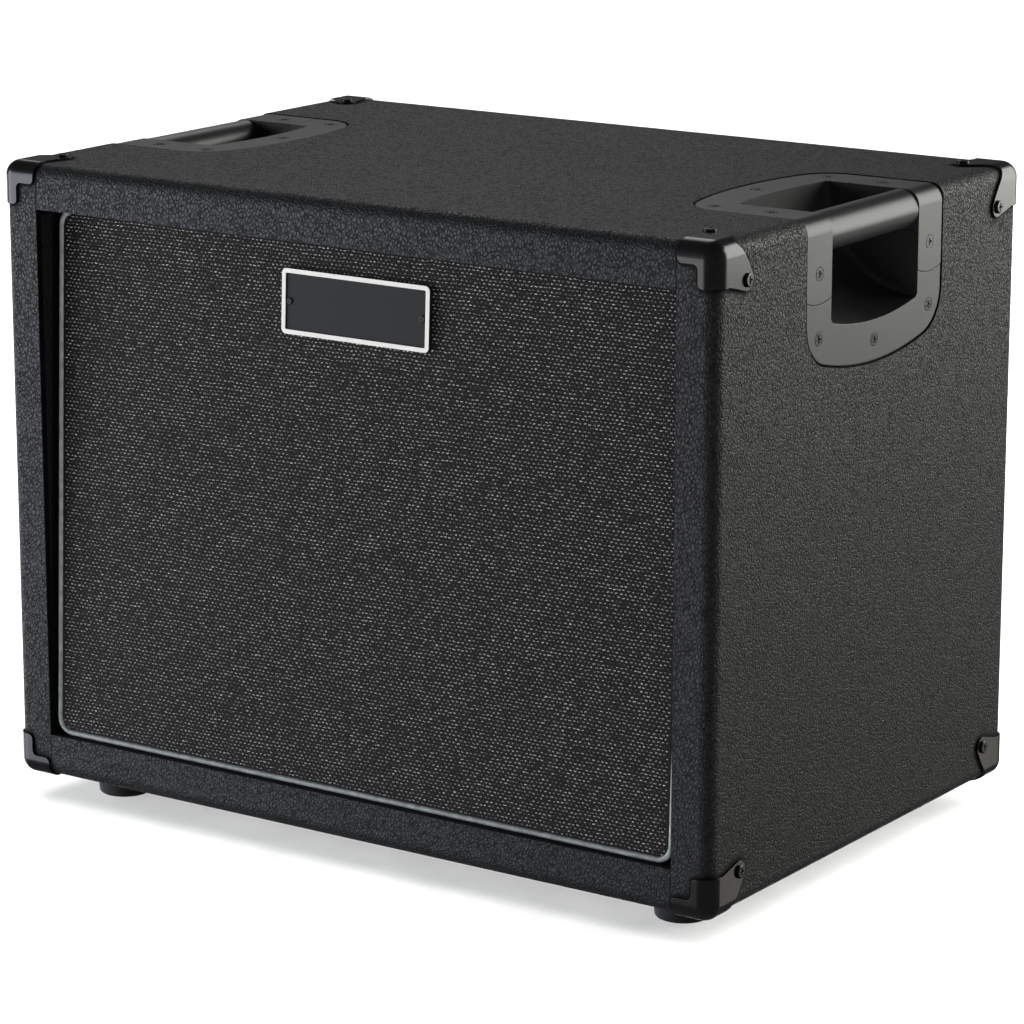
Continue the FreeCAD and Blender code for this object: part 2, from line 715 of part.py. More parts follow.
cloth_shape = upright_block(cloth_w, cloth_h, -size.cloth_thickness, size.frame_thickness, cloth_corner)
cloth_shape = cloth_shape.cut(upright_block(frame_w, frame_h, 0, 2 * size.frame_thickness, frame_corner))
keep(on_slope(solid("grille_cloth", cloth_shape.cut(Part.makeCompound(badge_holes)))), "grille_cloth")

# The piping's centre line is a rounded rectangle, half the tube outside the cloth's edge.
line_w = opening_w / 2 - size.grille_side_gap - size.piping_radius
line_h = opening_h / 2 - size.grille_end_gap - size.piping_radius
bend = size.grille_corner
runs = []
for sx, sz in ((1, 1), (-1, 1), (-1, -1), (1, -1)):
    centre = Vector(sx * (line_w - bend), 0, sz * (line_h - bend))
    swing = bend * math.sqrt(0.5)
    runs.append(Part.Arc(centre + Vector(sx * bend, 0, 0), centre + Vector(sx * swing, 0, sz * swing),
                         centre + Vector(0, 0, sz * bend)).toShape())
for sign in (-1, 1):
    x, z = sign * line_w, sign * line_h
    runs.append(Part.makeLine(Vector(-line_w + bend, 0, z), Vector(line_w - bend, 0, z)))
    runs.append(Part.makeLine(Vector(x, 0, -line_h + bend), Vector(x, 0, line_h - bend)))
path = Part.Wire(Part.__sortEdges__(runs))
start = path.Edges[0].valueAt(path.Edges[0].FirstParameter)
heading = path.Edges[0].tangentAt(path.Edges[0].FirstParameter)
ring = Part.Wire(Part.makeCircle(size.piping_radius, start, heading))
piping = path.makePipeShell([ring], True, False)
keep(on_slope(solid("grille_piping", piping)), "grille_piping")

pad_x = frame_w / 2 - size.pad_inset
pad_z = frame_h / 2 - size.frame_border / 2
pads = []
for sx in (-1, 1):
    for sz in (-1, 1):
        pads.append(Part.makeBox(size.pad_length, size.pad_thickness, size.pad_width,
                                 Vector(sx * pad_x - size.pad_length / 2, size.frame_thickness,
                                        sz * pad_z - size.pad_width / 2)))
keep(on_slope(solid("grille_fastener_pads", Part.makeCompound(pads))), "grille_fastener_pads")

# Badge
# A bare plate with a raised border, held through the cloth by two small screws.
badge_back = -size.cloth_thickness
field = badge_back - size.badge_thickness
border_top = field - size.badge_relief
plate = upright_block(size.badge_width, size.badge_height, border_top, badge_back, size.badge_corner)
field_corner = max(size.badge_corner - size.badge_border, size.badge_border / 3)
hollow = upright_block(size.badge_width - 2 * size.badge_border, size.badge_height - 2 * size.badge_border,
                       field - 2 * size.badge_relief, field, field_corner)
plate.translate(Vector(0, 0, badge_z))
hollow.translate(Vector(0, 0, badge_z))
keep(on_slope(solid("badge_plate", plate.cut(hollow).cut(Part.makeCompound(badge_holes)))), "badge_plate")
badge_seats = [(p + Vector(0, field, 0), Vector(0, -1, 0)) for p in badge_points]
keep(on_slope(solid("badge_screws", set_out(small_screw(), badge_seats))), "badge_screws")

# Corner protectors
# Pressed steel shells that follow the rounded corner: an L on the front or back, and a screwed ear on the top
# or bottom and on the side. The ear's straight edges meet its round at these turns.
INNER_TURN = -15
OUTER_TURN = 129
seat_block = rounded_block("protector_seat", "seat_gap")
outer_block = rounded_block("protector_outer", "seat_gap + protector_thickness")
skin_depth = size.edge_radius + 2 * size.protector_thickness


def ear_outline():
    """The ear on one face: u runs from the side edge and v from the front edge, both into the face."""
    reach, drop, ear = size.protector_ear_reach, size.protector_ear_drop, size.protector_ear_radius
    leg, lip = size.protector_leg_length, -2 * size.protector_thickness
    centre = Vector(drop, reach, 0)
    inner_rim, outer_rim = (centre + Rotation(Vector(0, 0, 1), turn).multVec(Vector(ear, 0, 0))
                            for turn in (INNER_TURN, OUTER_TURN))
    tail = Vector(lip, size.protector_ear_tail, 0)
    chord = outer_rim - tail
    crown = tail + chord / 2 + Vector(-chord.y, chord.x, 0).normalize() * size.protector_ear_bow
    corners = [tail, Vector(lip, lip, 0), Vector(leg, lip, 0), Vector(leg, size.protector_leg_width, 0),
               inner_rim, centre, outer_rim]
    sides = [Part.makeLine(a, b) for a, b in zip(corners, corners[1:])]
    shoulder = face_of(*sides, Part.Arc(outer_rim, crown, tail).toShape())
    disc = Part.Face(Part.Wire(Part.makeCircle(ear, centre)))
    return shoulder.fuse(disc).removeSplitter().Faces[0]


def ell_outline():
    """The L on the front: a leg along the top edge and one down the side."""
    lip = -2 * size.protector_thickness
    long, wide = size.protector_leg_length, size.protector_leg_width
    steps = [(lip, lip), (long, lip), (long, wide), (wide, wide), (wide, long), (lip, long)]
    return polygon([Vector(x, lip, -z) for x, z in steps])


def corner_region():
    """What the protector covers: three shallow prisms, with the front top left corner at the origin."""
    on_top = ear_outline().extrude(Vector(0, 0, skin_depth))
    on_top.translate(Vector(0, 0, 2 * size.protector_thickness - skin_depth))
    on_side = on_top.mirror(Vector(), Vector(1, 0, 1))
    ell = ell_outline().extrude(Vector(0, skin_depth, 0))
    ell = round_edges(ell, size.protector_leg_round, lambda edge: edge.BoundBox.YLength > skin_depth / 2
                      and edge.BoundBox.XMin > 0 and edge.BoundBox.ZMax < 0)
    return on_top.fuse([on_side, ell])


region = corner_region()
region.translate(Vector(-half_w, -half_d, top))
doc.recompute()
protector_shape = outer_block.Shape.cut(seat_block.Shape).common(region)
protector_holes = shell_holes[0]
protector_source = cut("protector_source", solid("protector_blank", protector_shape), protector_holes)
through = Vector(0, 0, middle)
keep(protector_source, "front_top_left_corner")
right_source = keep(mirrored("front_top_right_corner", protector_source, Vector(1, 0, 0), through),
                    "front_top_right_corner")
rear = [keep(mirrored(f"rear_top_{name}_corner", piece, Vector(0, 1, 0), through), f"rear_top_{name}_corner")
        for name, piece in (("left", protector_source), ("right", right_source))]
for name, piece in (("front_bottom_left", protector_source), ("front_bottom_right", right_source),
                    ("rear_bottom_left", rear[0]), ("rear_bottom_right", rear[1])):
    keep(mirrored(name + "_corner", piece, Vector(0, 0, 1), through), name + "_corner")
keep(solid("corner_screws", set_out(wood_screw(size.screw_length), corner_seats)), "corner_screws")

# Corner handles
# A moulded cup let into the top edge, and a grip with two ears that wraps the edge over it.
corner = Vector(handle_side, 0, handle_top)
through_plate = Vector(0, 0, -size.handle_plate)


def mouth_face(near, extra):
    """The mouth's face grown by an amount, with its two far corners rounded."""
    face = bowed_face(near, extra, half_mouth + extra)
    block = face.extrude(through_plate)
    block = round_edges(block, size.mouth_corner + extra,
                        lambda edge: edge.BoundBox.ZLength > size.handle_plate / 2
                        and edge.BoundBox.XMax < -size.ear_reach)
    return next(side for side in block.Faces if side.BoundBox.ZMin > -size.handle_plate / 2)


def ear_plate(grow):
    """One ear's flat part on the top face, with its bowed end, as thick as the flange."""
    low, high = half_mouth - grow, half_handle + grow
    end = size.ear_reach + grow
    near = size.ear_block - size.cup_wall
    arc = Part.Arc(flat(end, low), flat(end + size.ear_bulge, (low + high) / 2), flat(end, high)).toShape()
    face = face_of(arc, Part.makeLine(flat(end, high), flat(near, high)),
                   Part.makeLine(flat(near, high), flat(near, low)),
                   Part.makeLine(flat(near, low), flat(end, low)))
    return face.extrude(through_plate)


def both_ends(shape):
    """The shape and its twin at the other end of the handle."""
    return shape.fuse(shape.mirror(Vector(), Vector(0, 1, 0)))


# Cup: a quarter drum about the edge, open at the top and at the side, with a flange on each face.
drum = mouth_face(size.ear_block / 2, size.cup_wall)
drum = drum.cut(mouth_face(0, 0))
drum = drum.revolve(Vector(), Vector(0, -1, 0), 90)
flange = flange_block(size.ear_block, 0, -size.handle_plate, 0)
flange = round_edges(flange, size.handle_edge_round, lambda edge: edge.BoundBox.ZMin > -size.handle_plate / 2
                     and edge.BoundBox.XMin < -size.ear_reach)
flange = flange.cut(mouth_face(0, 0).extrude(through_plate))
rebate = size.ear_block + size.fit_gap
ear_room = Part.makeBox(2 * rebate, 2 * half_handle, 2 * rebate, Vector(-rebate, -half_handle, -rebate))
plate_room = both_ends(ear_plate(size.fit_gap))
cup_shape = drum.cut(ear_room).fuse([flange, to_side(flange)]).removeSplitter()
cup_shape = cup_shape.cut([plate_room, to_side(plate_room)])
cup_shape.translate(corner)

# Grip: a round bar between two ear blocks that fill the rebate, with a plate on each face.
block = size.ear_block
ear_block = Part.makeBox(block, size.ear_width, block, Vector(-block, half_mouth, -block))
ear_block = round_edges(ear_block, size.ear_round,
                        lambda edge: edge.BoundBox.XMin > -block / 2 and edge.BoundBox.ZMin > -block / 2)
plate = ear_plate(0)
ears = both_ends(ear_block.fuse([plate, to_side(plate)]).removeSplitter())
half_bar = half_mouth + size.cup_wall
bar = Part.makeCylinder(size.grip_radius, 2 * half_bar,
                        Vector(-size.grip_centre, -half_bar, -size.grip_centre), Vector(0, 1, 0))
grip_shape = ears.fuse(bar).removeSplitter()
grip_shape.translate(corner)

handle_holes = shell_holes[1]
for what, shape in (("handle_cup", cup_shape), ("handle_grip", grip_shape)):
    right_piece = keep(cut(f"right_{what}", solid(f"{what}_blank", shape), handle_holes), f"right_{what}")
    keep(mirrored(f"left_{what}", right_piece, Vector(1, 0, 0), Vector()), f"left_{what}")
keep(solid("handle_screws", set_out(flush_screw(size.screw_length), handle_seats)), "handle_screws")

# Feet
# Tapered rubber feet, each with a recess for its screw.
for label, (sx, sy) in foot_places.items():
    cone = doc.addObject("Part::Cone", label + "_cone")
    cone.setExpression("Radius1", bound("foot_radius - foot_taper"))
    cone.setExpression("Radius2", bound("foot_radius"))
    cone.setExpression("Height", bound("foot_height"))
    recess = cylinder(label + "_recess", "foot_recess_radius", "foot_recess_depth")
    hole = cylinder(label + "_hole", "screw_shank_radius + seat_gap", "foot_height")
    doc.recompute()
    soft = doc.addObject("Part::Fillet", label + "_soft")
    soft.Base = cone
    low_edges = [number for number, edge in enumerate(cone.Shape.Edges, start=1)
                 if edge.BoundBox.ZMax < size.foot_height / 2]
    soft.Edges = [(number, size.foot_edge_round, size.foot_edge_round) for number in low_edges]
    foot = keep(cut(label, soft, recess, hole), label)
    foot.setExpression("Placement.Base.x", bound(f"{sx} * ({HALF_W} - foot_inset)"))
    foot.setExpression("Placement.Base.y", bound(f"{sy} * ({HALF_D} - foot_inset)"))
keep(solid("foot_screws", set_out(wood_screw(size.screw_length), foot_seats)), "foot_screws")

# Jack
# A steel plate on the back panel carries one quarter-inch socket with its nut, and the socket's two contacts.
plate_shape = Part.makeBox(size.jack_plate_width, size.jack_plate_thickness, size.jack_plate_height,
                           Vector(-size.jack_plate_width / 2, 0, -size.jack_plate_height / 2))
plate_shape = round_edges(plate_shape, size.jack_plate_corner,
                          lambda edge: abs(edge.tangentAt(edge.FirstParameter).y) > 0.9)
bush_hole = Part.makeCylinder(size.jack_bush_radius + size.seat_gap, size.jack_plate_thickness, Vector(),
                              Vector(0, 1, 0))
plate_shape = plate_shape.cut(bush_hole)
plate_shape.translate(Vector(0, back_face, jack_z))
keep(cut("jack_plate", solid("jack_plate_blank", plate_shape), jack_screw_holes), "jack_plate")
keep(solid("jack_plate_screws", set_out(wood_screw(size.jack_screw_length), jack_seats)), "jack_plate_screws")

body_w, body_l, wall = size.jack_body_width, size.jack_body_length, size.jack_wall
shell = Part.makeBox(body_w, body_l, body_w, Vector(-body_w / 2, -body_l, -body_w / 2))
shell = shell.cut(Part.makeBox(body_w - 2 * wall, body_l - 2 * wall, body_w - wall,
                               Vector(-body_w / 2 + wall, -body_l + wall, -body_w / 2)))
bush = Part.makeCylinder(size.jack_bush_radius, size.jack_bush_length, Vector(), Vector(0, 1, 0))
bore_length = size.jack_bush_length + wall
bore = Part.makeCylinder(size.jack_bore_radius, bore_length, Vector(0, -wall, 0), Vector(0, 1, 0))
socket = shell.fuse(bush).removeSplitter().cut(bore)
socket.translate(Vector(0, back_face, jack_z))
keep(solid("jack_socket", socket), "jack_socket")
sixths = [math.pi / 3 * number for number in range(6)]
hexagon = polygon([Vector(math.cos(turn), math.sin(turn), 0) * size.jack_nut_radius for turn in sixths])
nut = hexagon.extrude(Vector(0, 0, size.jack_nut_height))
nut = nut.cut(Part.makeCylinder(size.jack_bush_radius + size.seat_gap, size.jack_nut_height))
nut.Placement = Placement(Vector(0, back_face + size.jack_plate_thickness, jack_z), FACE_IN_TURN)
keep(solid("jack_nut", nut), "jack_nut")

tags = []
tag_w = body_w / 4
for sx in (-1, 1):
    root = Vector(sx * body_w / 4 - tag_w / 2, -body_l - size.jack_tag_length, body_w / 4)
    tags.append(Part.makeBox(tag_w, size.jack_tag_length, size.jack_tag_gauge, root))
tag_set = Part.makeCompound(tags)
tag_set.translate(Vector(0, back_face, jack_z))
keep(solid("jack_contacts", tag_set), "jack_contacts")

# Loudspeaker
# Turned parts about the driver's axis: each outline is a run of radius and depth behind the baffle.
def turned(outline):
    """A solid turned about the driver's axis from points of radius and depth."""
    face = polygon([Vector(radius, baffle_back + depth, 0) for radius, depth in outline])
    return face.revolve(Vector(), Vector(0, 1, 0), 360)


def washer(name, inner, outer, near, depth):
    """A plain ring about the driver's axis, bound to the sheet."""
    ring_blank = cylinder(name + "_blank", outer, depth)
    ring_hole = cylinder(name + "_hole", inner, depth)
    piece = keep(cut(name, ring_blank, ring_hole), name)
    return on_slope(piece, Vector(0, baffle_back + near, 0), FACE_IN_TURN)


gauge = size.basket_gauge
gasket_outer = flange_radius - size.gasket_inset
gasket_inner = gasket_outer - size.gasket_width
basket_mouth = gasket_inner - size.surround_lip
cone_outer = basket_mouth - size.surround_width
spider_radius = size.basket_rear_radius - size.spider_margin
flange_near = size.gasket_thickness
flange_far = flange_near + gauge
basket_end = flange_near + size.basket_depth
seat_depth = size.gasket_thickness + size.cone_depth + size.spider_setback
basket = turned([
    (flange_radius, flange_near), (flange_radius, flange_far),
    (basket_mouth + gauge, flange_far), (size.basket_rear_radius + gauge, basket_end),
    (size.magnet_bore_radius, basket_end), (size.magnet_bore_radius, basket_end - gauge),
    (size.basket_rear_radius, basket_end - gauge), (basket_mouth, flange_near),
])
spider_step = turned([
    (spider_radius - size.spider_seat, seat_depth), (spider_radius + gauge, seat_depth),
    (spider_radius + gauge, basket_end - gauge), (spider_radius, basket_end - gauge),
    (spider_radius, seat_depth + gauge), (spider_radius - size.spider_seat, seat_depth + gauge),
])
window_depth = flange_far + (seat_depth - flange_far - size.basket_window_length) / 2
windows = []
for number in range(int(size.basket_window_count)):
    window_corner = Vector(size.basket_rear_radius, baffle_back + window_depth, -size.basket_window_width / 2)
    opening = Part.makeBox(flange_radius, size.basket_window_length, size.basket_window_width, window_corner)
    opening.rotate(Vector(), Vector(0, 1, 0), number * 360 / size.basket_window_count)
    windows.append(opening)
frame_bolts = [Part.makeCylinder(size.bolt_radius + size.fit_gap, span, p, Vector(0, 1, 0))
               for p in bolt_points]
basket = basket.fuse(spider_step).removeSplitter().cut(Part.makeCompound(windows + frame_bolts))
keep(on_slope(solid("speaker_frame", basket)), "speaker_frame")
GASKET_OUTER = f"(({ROOM_HEIGHT}) / 2 - flange_margin - gasket_inset)"
washer("speaker_gasket", f"{GASKET_OUTER} - gasket_width", GASKET_OUTER, 0, "gasket_thickness")

inner_rim = cone_outer + size.fit_gap
roll_c = (inner_rim + basket_mouth) / 2
roll = roll_c - inner_rim
lip = size.gasket_thickness
thin = size.cone_gauge
roll_centre = Vector(roll_c, baffle_back + lip - thin, 0)
half_roll = []
for radius in (roll, roll - thin):
    half_roll.append(Part.Arc(roll_centre + Vector(-radius, 0, 0), roll_centre + Vector(0, -radius, 0),
                              roll_centre + Vector(radius, 0, 0)).toShape())
outer_lip = gasket_inner - size.fit_gap
lip_points = [roll_centre + Vector(roll, 0, 0), Vector(outer_lip, baffle_back + lip - thin, 0),
              Vector(outer_lip, baffle_back + lip, 0), roll_centre + Vector(roll - thin, thin, 0),
              roll_centre + Vector(roll - thin, 0, 0)]
tail_points = [roll_centre + Vector(-roll + thin, 0, 0), roll_centre + Vector(-roll + thin, thin, 0),
               roll_centre + Vector(-roll, thin, 0), roll_centre + Vector(-roll, 0, 0)]
edges = half_roll
edges += [Part.makeLine(a, b) for a, b in zip(lip_points, lip_points[1:])]
edges += [Part.makeLine(a, b) for a, b in zip(tail_points, tail_points[1:])]
surround = face_of(*edges).revolve(Vector(), Vector(0, 1, 0), 360)
keep(on_slope(solid("surround", surround)), "surround")

coil_outer = size.coil_radius + size.former_gauge
cone_near = size.gasket_thickness
cone_far = cone_near + size.cone_depth
cone_shape = turned([(cone_outer, cone_near - thin), (cone_outer, cone_near),
                     (coil_outer, cone_far), (coil_outer, cone_far - 1.5 * thin)])
keep(on_slope(solid("cone", cone_shape)), "cone")
fall = (cone_far - cone_near) / (cone_outer - coil_outer)
cap_depth = cone_near - thin + (cone_outer - size.dust_cap_radius) * fall - 0.5 * thin
cap_bow = (size.dust_cap_radius ** 2 + size.dust_cap_rise ** 2) / (2 * size.dust_cap_rise)
cap_centre = Vector(0, baffle_back + cap_depth - size.dust_cap_rise + cap_bow, 0)
dome = Part.makeSphere(cap_bow, cap_centre).cut(Part.makeSphere(cap_bow - thin, cap_centre))
cap_cut = Part.makeCylinder(size.dust_cap_radius, 2 * size.dust_cap_rise,
                            Vector(0, baffle_back + cap_depth - 2 * size.dust_cap_rise, 0), Vector(0, 1, 0))
keep(on_slope(solid("dust_cap", dome.common(cap_cut))), "dust_cap")

gap_near = basket_end
gap_far = gap_near + size.top_plate_thickness
winding_near = gap_near + size.top_plate_thickness / 2 - size.winding_length / 2
winding_far = winding_near + size.winding_length
coil_shape = turned([(size.coil_radius, cone_far - 2 * thin), (coil_outer, cone_far - 2 * thin),
                     (coil_outer, winding_near), (coil_outer + size.winding_gauge, winding_near),
                     (coil_outer + size.winding_gauge, winding_far), (size.coil_radius, winding_far)])
keep(on_slope(solid("voice_coil", coil_shape)), "voice_coil")

waves = int(size.spider_wave_count)
ripple = []
inner_edge = coil_outer + size.fit_gap
wave_end = spider_radius - size.spider_seat
for number in range(2 * waves + 1):
    radius = inner_edge + (wave_end - inner_edge) * number / (2 * waves)
    ripple.append((radius, seat_depth - size.spider_gauge - (size.spider_wave if number % 2 else 0)))
ripple.append((spider_radius - size.fit_gap, seat_depth - size.spider_gauge))
under = [(radius, depth + size.spider_gauge) for radius, depth in reversed(ripple)]
keep(on_slope(solid("spider", turned(ripple + under))), "spider")

washer("top_plate", "coil_radius + former_gauge + winding_gauge + coil_clearance", "top_plate_radius",
       gap_near, "top_plate_thickness")
washer("magnet", "magnet_bore_radius", "magnet_radius", gap_far, "magnet_thickness")
yoke_near = gap_far + size.magnet_thickness
pole_radius = size.coil_radius - size.coil_clearance
yoke_far = yoke_near + size.yoke_thickness
yoke_radius = size.top_plate_radius
pole = turned([(0, gap_near), (pole_radius, gap_near), (pole_radius, yoke_near),
               (yoke_radius, yoke_near), (yoke_radius, yoke_far), (0, yoke_far)])
keep(on_slope(solid("pole_piece", pole)), "pole_piece")

# Speaker fixings
# Bolts from behind the basket's flange into tee nuts pressed in the front of the baffle.
bolts = []
tees = []
for p in bolt_points:
    head_at = p + Vector(0, baffle_back + flange_far, 0)
    length = size.baffle_thickness + flange_far
    head = Part.makeCylinder(size.bolt_head_radius, size.bolt_head_height, head_at, Vector(0, 1, 0))
    shank = Part.makeCylinder(size.bolt_radius, length, head_at, Vector(0, -1, 0))
    bolts.append(head.fuse(shank).removeSplitter())
    seat = p + Vector(0, baffle_face, 0)
    disc = Part.makeCylinder(size.tee_flange_radius, size.tee_flange_gauge, seat, Vector(0, -1, 0))
    barrel = Part.makeCylinder(tee_barrel_radius, size.tee_length, seat, Vector(0, 1, 0))
    thread = Part.makeCylinder(size.bolt_radius + size.seat_gap, 2 * size.tee_length,
                               seat - Vector(0, size.tee_length / 2, 0), Vector(0, 1, 0))
    tees.append(disc.fuse(barrel).removeSplitter().cut(thread))
keep(on_slope(solid("speaker_bolts", Part.makeCompound(bolts))), "speaker_bolts")
keep(on_slope(solid("speaker_tee_nuts", Part.makeCompound(tees))), "speaker_tee_nuts")

# Terminals and leads
# A small board on the flange takes the two leads that run along the bottom from the jack's contacts.
terminal_r = (basket_mouth + gauge + flange_radius) / 2
board_w, board_h = size.terminal_width, size.terminal_height
board_near = baffle_back + flange_far
board_far = board_near + size.terminal_gauge
board_corner = Vector(-board_w / 2, board_near, -terminal_r - board_h / 2)
board = Part.makeBox(board_w, size.terminal_gauge, board_h, board_corner)
pin_w, pin_l, pin_g = size.terminal_pin_width, size.terminal_pin_length, size.terminal_pin_gauge
pin_z = -terminal_r - pin_g / 2
pins = [Part.makeBox(pin_w, pin_l, pin_g, Vector(sx * board_w / 4 - pin_w / 2, board_far, pin_z))
        for sx in (-1, 1)]
keep(on_slope(solid("terminal_board", board.fuse(pins).removeSplitter())), "terminal_board")


# The share of the shorter run that each bend of a lead takes.
BEND_SHARE = 0.45


def lead(points):
    """A round lead through the points: straight runs joined by tangent arcs as large as the runs allow."""
    edges = []
    here = points[0]
    radii = []
    for before, point, after in zip(points, points[1:], points[2:]):
        into = (point - before).normalize()
        out = (after - point).normalize()
        turn = into.getAngle(out)
        setback = BEND_SHARE * min((point - before).Length, (after - point).Length)
        radii.append(setback / math.tan(turn / 2))
        first, last = point - into * setback, point + out * setback
        rise = radii[-1] * (1 / math.cos(turn / 2) - 1)
        crown = point + (out - into).normalize() * rise
        edges.append(Part.makeLine(here, first))
        edges.append(Part.Arc(first, crown, last).toShape())
        here = last
    edges.append(Part.makeLine(here, points[-1]))
    line = Part.Wire(edges)
    ring = Part.Wire(Part.makeCircle(size.lead_radius, points[0], (points[1] - points[0]).normalize()))
    tube = line.makePipeShell([ring], True, False)
    wanted = math.pi * size.lead_radius ** 2 * line.Length
    print("lead radii", [round(r, 1) for r in radii], "length", round(line.Length, 1),
          "volume ratio", round(tube.Volume / wanted, 4))
    return tube


tag_end_y = back_face - body_l - size.jack_tag_length
tag_z = jack_z + body_w / 4 + size.jack_tag_gauge / 2
low_z = floor + size.covering_thickness + size.panel_thickness + size.lead_lift
for label, sx in (("speaker_lead_red", 1), ("speaker_lead_black", -1)):
    pin_end = tilt.multVec(Vector(sx * board_w / 4, board_far + pin_l, -terminal_r))
    start = Vector(sx * body_w / 4, tag_end_y, tag_z)
    points = [
        start,
        start - Vector(0, size.lead_exit, size.lead_dip),
        start + Vector(sx * size.lead_splay, -size.lead_fall_run, -size.lead_fall),
        Vector(sx * size.lead_spread_rear, start.y - size.lead_landing, low_z + size.lead_lift),
        Vector(sx * size.lead_spread_middle, start.y - size.lead_lying, low_z),
        Vector(sx * size.lead_spread_front, pin_end.y + size.lead_rise_run, low_z + size.lead_lift / 2),
        pin_end + Vector(-sx * size.lead_sway, size.lead_pin_run, -size.lead_dip),
        pin_end,
    ]
    keep(solid(label, lead(points)), label)

doc.recompute()
failed = [item.Name for item in doc.Objects if "Invalid" in item.State or "Error" in item.State]
if failed:
    raise RuntimeError(f"failed: {failed}")
for piece in nodes:
    if piece.Shape.isNull() or not piece.Shape.isValid() or not piece.Shape.Solids:
        raise RuntimeError(f"bad shape: {piece.Label}")

os.makedirs("parts", exist_ok=True)
for piece in nodes:
    piece.Shape.exportStep(f"parts/{piece.Label}.step")
print(len(nodes), "nodes")
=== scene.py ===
import json
import math

import bpy
import numpy as np
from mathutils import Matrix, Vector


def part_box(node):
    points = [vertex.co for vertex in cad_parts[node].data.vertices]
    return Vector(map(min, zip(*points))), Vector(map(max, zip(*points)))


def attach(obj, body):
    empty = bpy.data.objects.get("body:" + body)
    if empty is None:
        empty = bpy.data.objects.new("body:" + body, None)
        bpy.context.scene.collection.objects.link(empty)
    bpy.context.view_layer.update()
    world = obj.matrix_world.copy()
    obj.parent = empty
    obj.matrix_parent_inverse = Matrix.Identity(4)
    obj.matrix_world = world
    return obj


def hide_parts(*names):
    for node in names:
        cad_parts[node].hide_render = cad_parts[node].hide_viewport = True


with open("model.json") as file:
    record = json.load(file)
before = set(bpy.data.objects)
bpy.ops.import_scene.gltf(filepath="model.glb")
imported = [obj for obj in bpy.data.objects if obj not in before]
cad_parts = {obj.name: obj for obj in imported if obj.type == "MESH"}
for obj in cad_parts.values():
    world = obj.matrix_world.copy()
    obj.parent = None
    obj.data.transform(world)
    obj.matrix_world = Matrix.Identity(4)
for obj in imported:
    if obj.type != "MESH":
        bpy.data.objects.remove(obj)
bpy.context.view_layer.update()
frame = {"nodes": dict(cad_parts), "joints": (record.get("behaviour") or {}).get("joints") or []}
bpy.ops.object.select_all(action="DESELECT")

# Shell panels and battens
# Eighteen millimetre birch plywood panels, with plywood rails round the front opening and pine battens.
# The boards are sawn, glued and left bare inside: straight grain, with darker late wood lines.
MM = 0.001


def linear(code):
    """A colour written as sRGB hex, as linear red, green, blue and alpha."""
    parts = [int(code[i:i + 2], 16) / 255 for i in (1, 3, 5)]
    return [p / 12.92 if p <= 0.04045 else ((p + 0.055) / 1.055) ** 2.4 for p in parts] + [1.0]


def add(material, kind, inputs=None, **settings):
    """Adds a node, sets its settings, and fills or links its inputs."""
    node = material.node_tree.nodes.new(kind)
    for word, value in settings.items():
        setattr(node, word, value)
    for socket, value in (inputs or {}).items():
        if isinstance(value, bpy.types.NodeSocket):
            material.node_tree.links.new(value, node.inputs[socket])
        else:
            node.inputs[socket].default_value = value
    return node


def new_finish(name, metallic=0.0, ior=1.5, gleam=0.5):
    """A new material, its shader, and the object's own coordinates."""
    material = bpy.data.materials.new(name)
    material.use_nodes = True
    shader = material.node_tree.nodes["Principled BSDF"]
    shader.inputs["Metallic"].default_value = metallic
    shader.inputs["Specular IOR Level"].default_value = gleam
    if not metallic:
        shader.inputs["IOR"].default_value = ior
    place = add(material, "ShaderNodeTexCoord").outputs["Object"]
    return material, shader, place


def coat(material, shader, factor, colours, rough, relief, spread=(0.35, 0.65), edge=None):
    """Colour between two hex values, roughness and relief from one pattern, with edges worn to a radius."""
    ramp = add(material, "ShaderNodeValToRGB", {"Fac": factor})
    for stop, at, code in zip(ramp.color_ramp.elements, spread, colours):
        stop.position = at
        stop.color = linear(code)
    level = add(material, "ShaderNodeMapRange", {"Value": factor, "To Min": rough[0], "To Max": rough[1]})
    bump = add(material, "ShaderNodeBump", {"Height": factor, "Distance": relief})
    links = material.node_tree.links
    links.new(ramp.outputs["Color"], shader.inputs["Base Color"])
    links.new(level.outputs["Result"], shader.inputs["Roughness"])
    links.new(bump.outputs["Normal"], shader.inputs["Normal"])
    if edge:
        worn = add(material, "ShaderNodeBevel", {"Radius": edge}, samples=4)
        links.new(worn.outputs["Normal"], bump.inputs["Normal"])


def mottled(name, colours, grain, rough, relief, metallic=0.0, stretch=(1, 1, 1), edge=None, gleam=0.5):
    """A finish whose colour, gloss and relief vary with a grain of a real size, drawn out along an axis."""
    material, shader, place = new_finish(name, metallic, gleam=gleam)
    drawn = add(material, "ShaderNodeMapping", {"Vector": place, "Scale": stretch})
    grains = add(material, "ShaderNodeTexNoise",
                 {"Vector": drawn.outputs["Vector"], "Scale": 1 / grain, "Detail": 4.0})
    coat(material, shader, grains.outputs["Fac"], colours, rough, relief, edge=edge)
    return material


def dress(material, *nodes):
    """Gives CAD nodes a finish."""
    for name in nodes:
        for slot in frame["nodes"][name].material_slots:
            slot.material = material


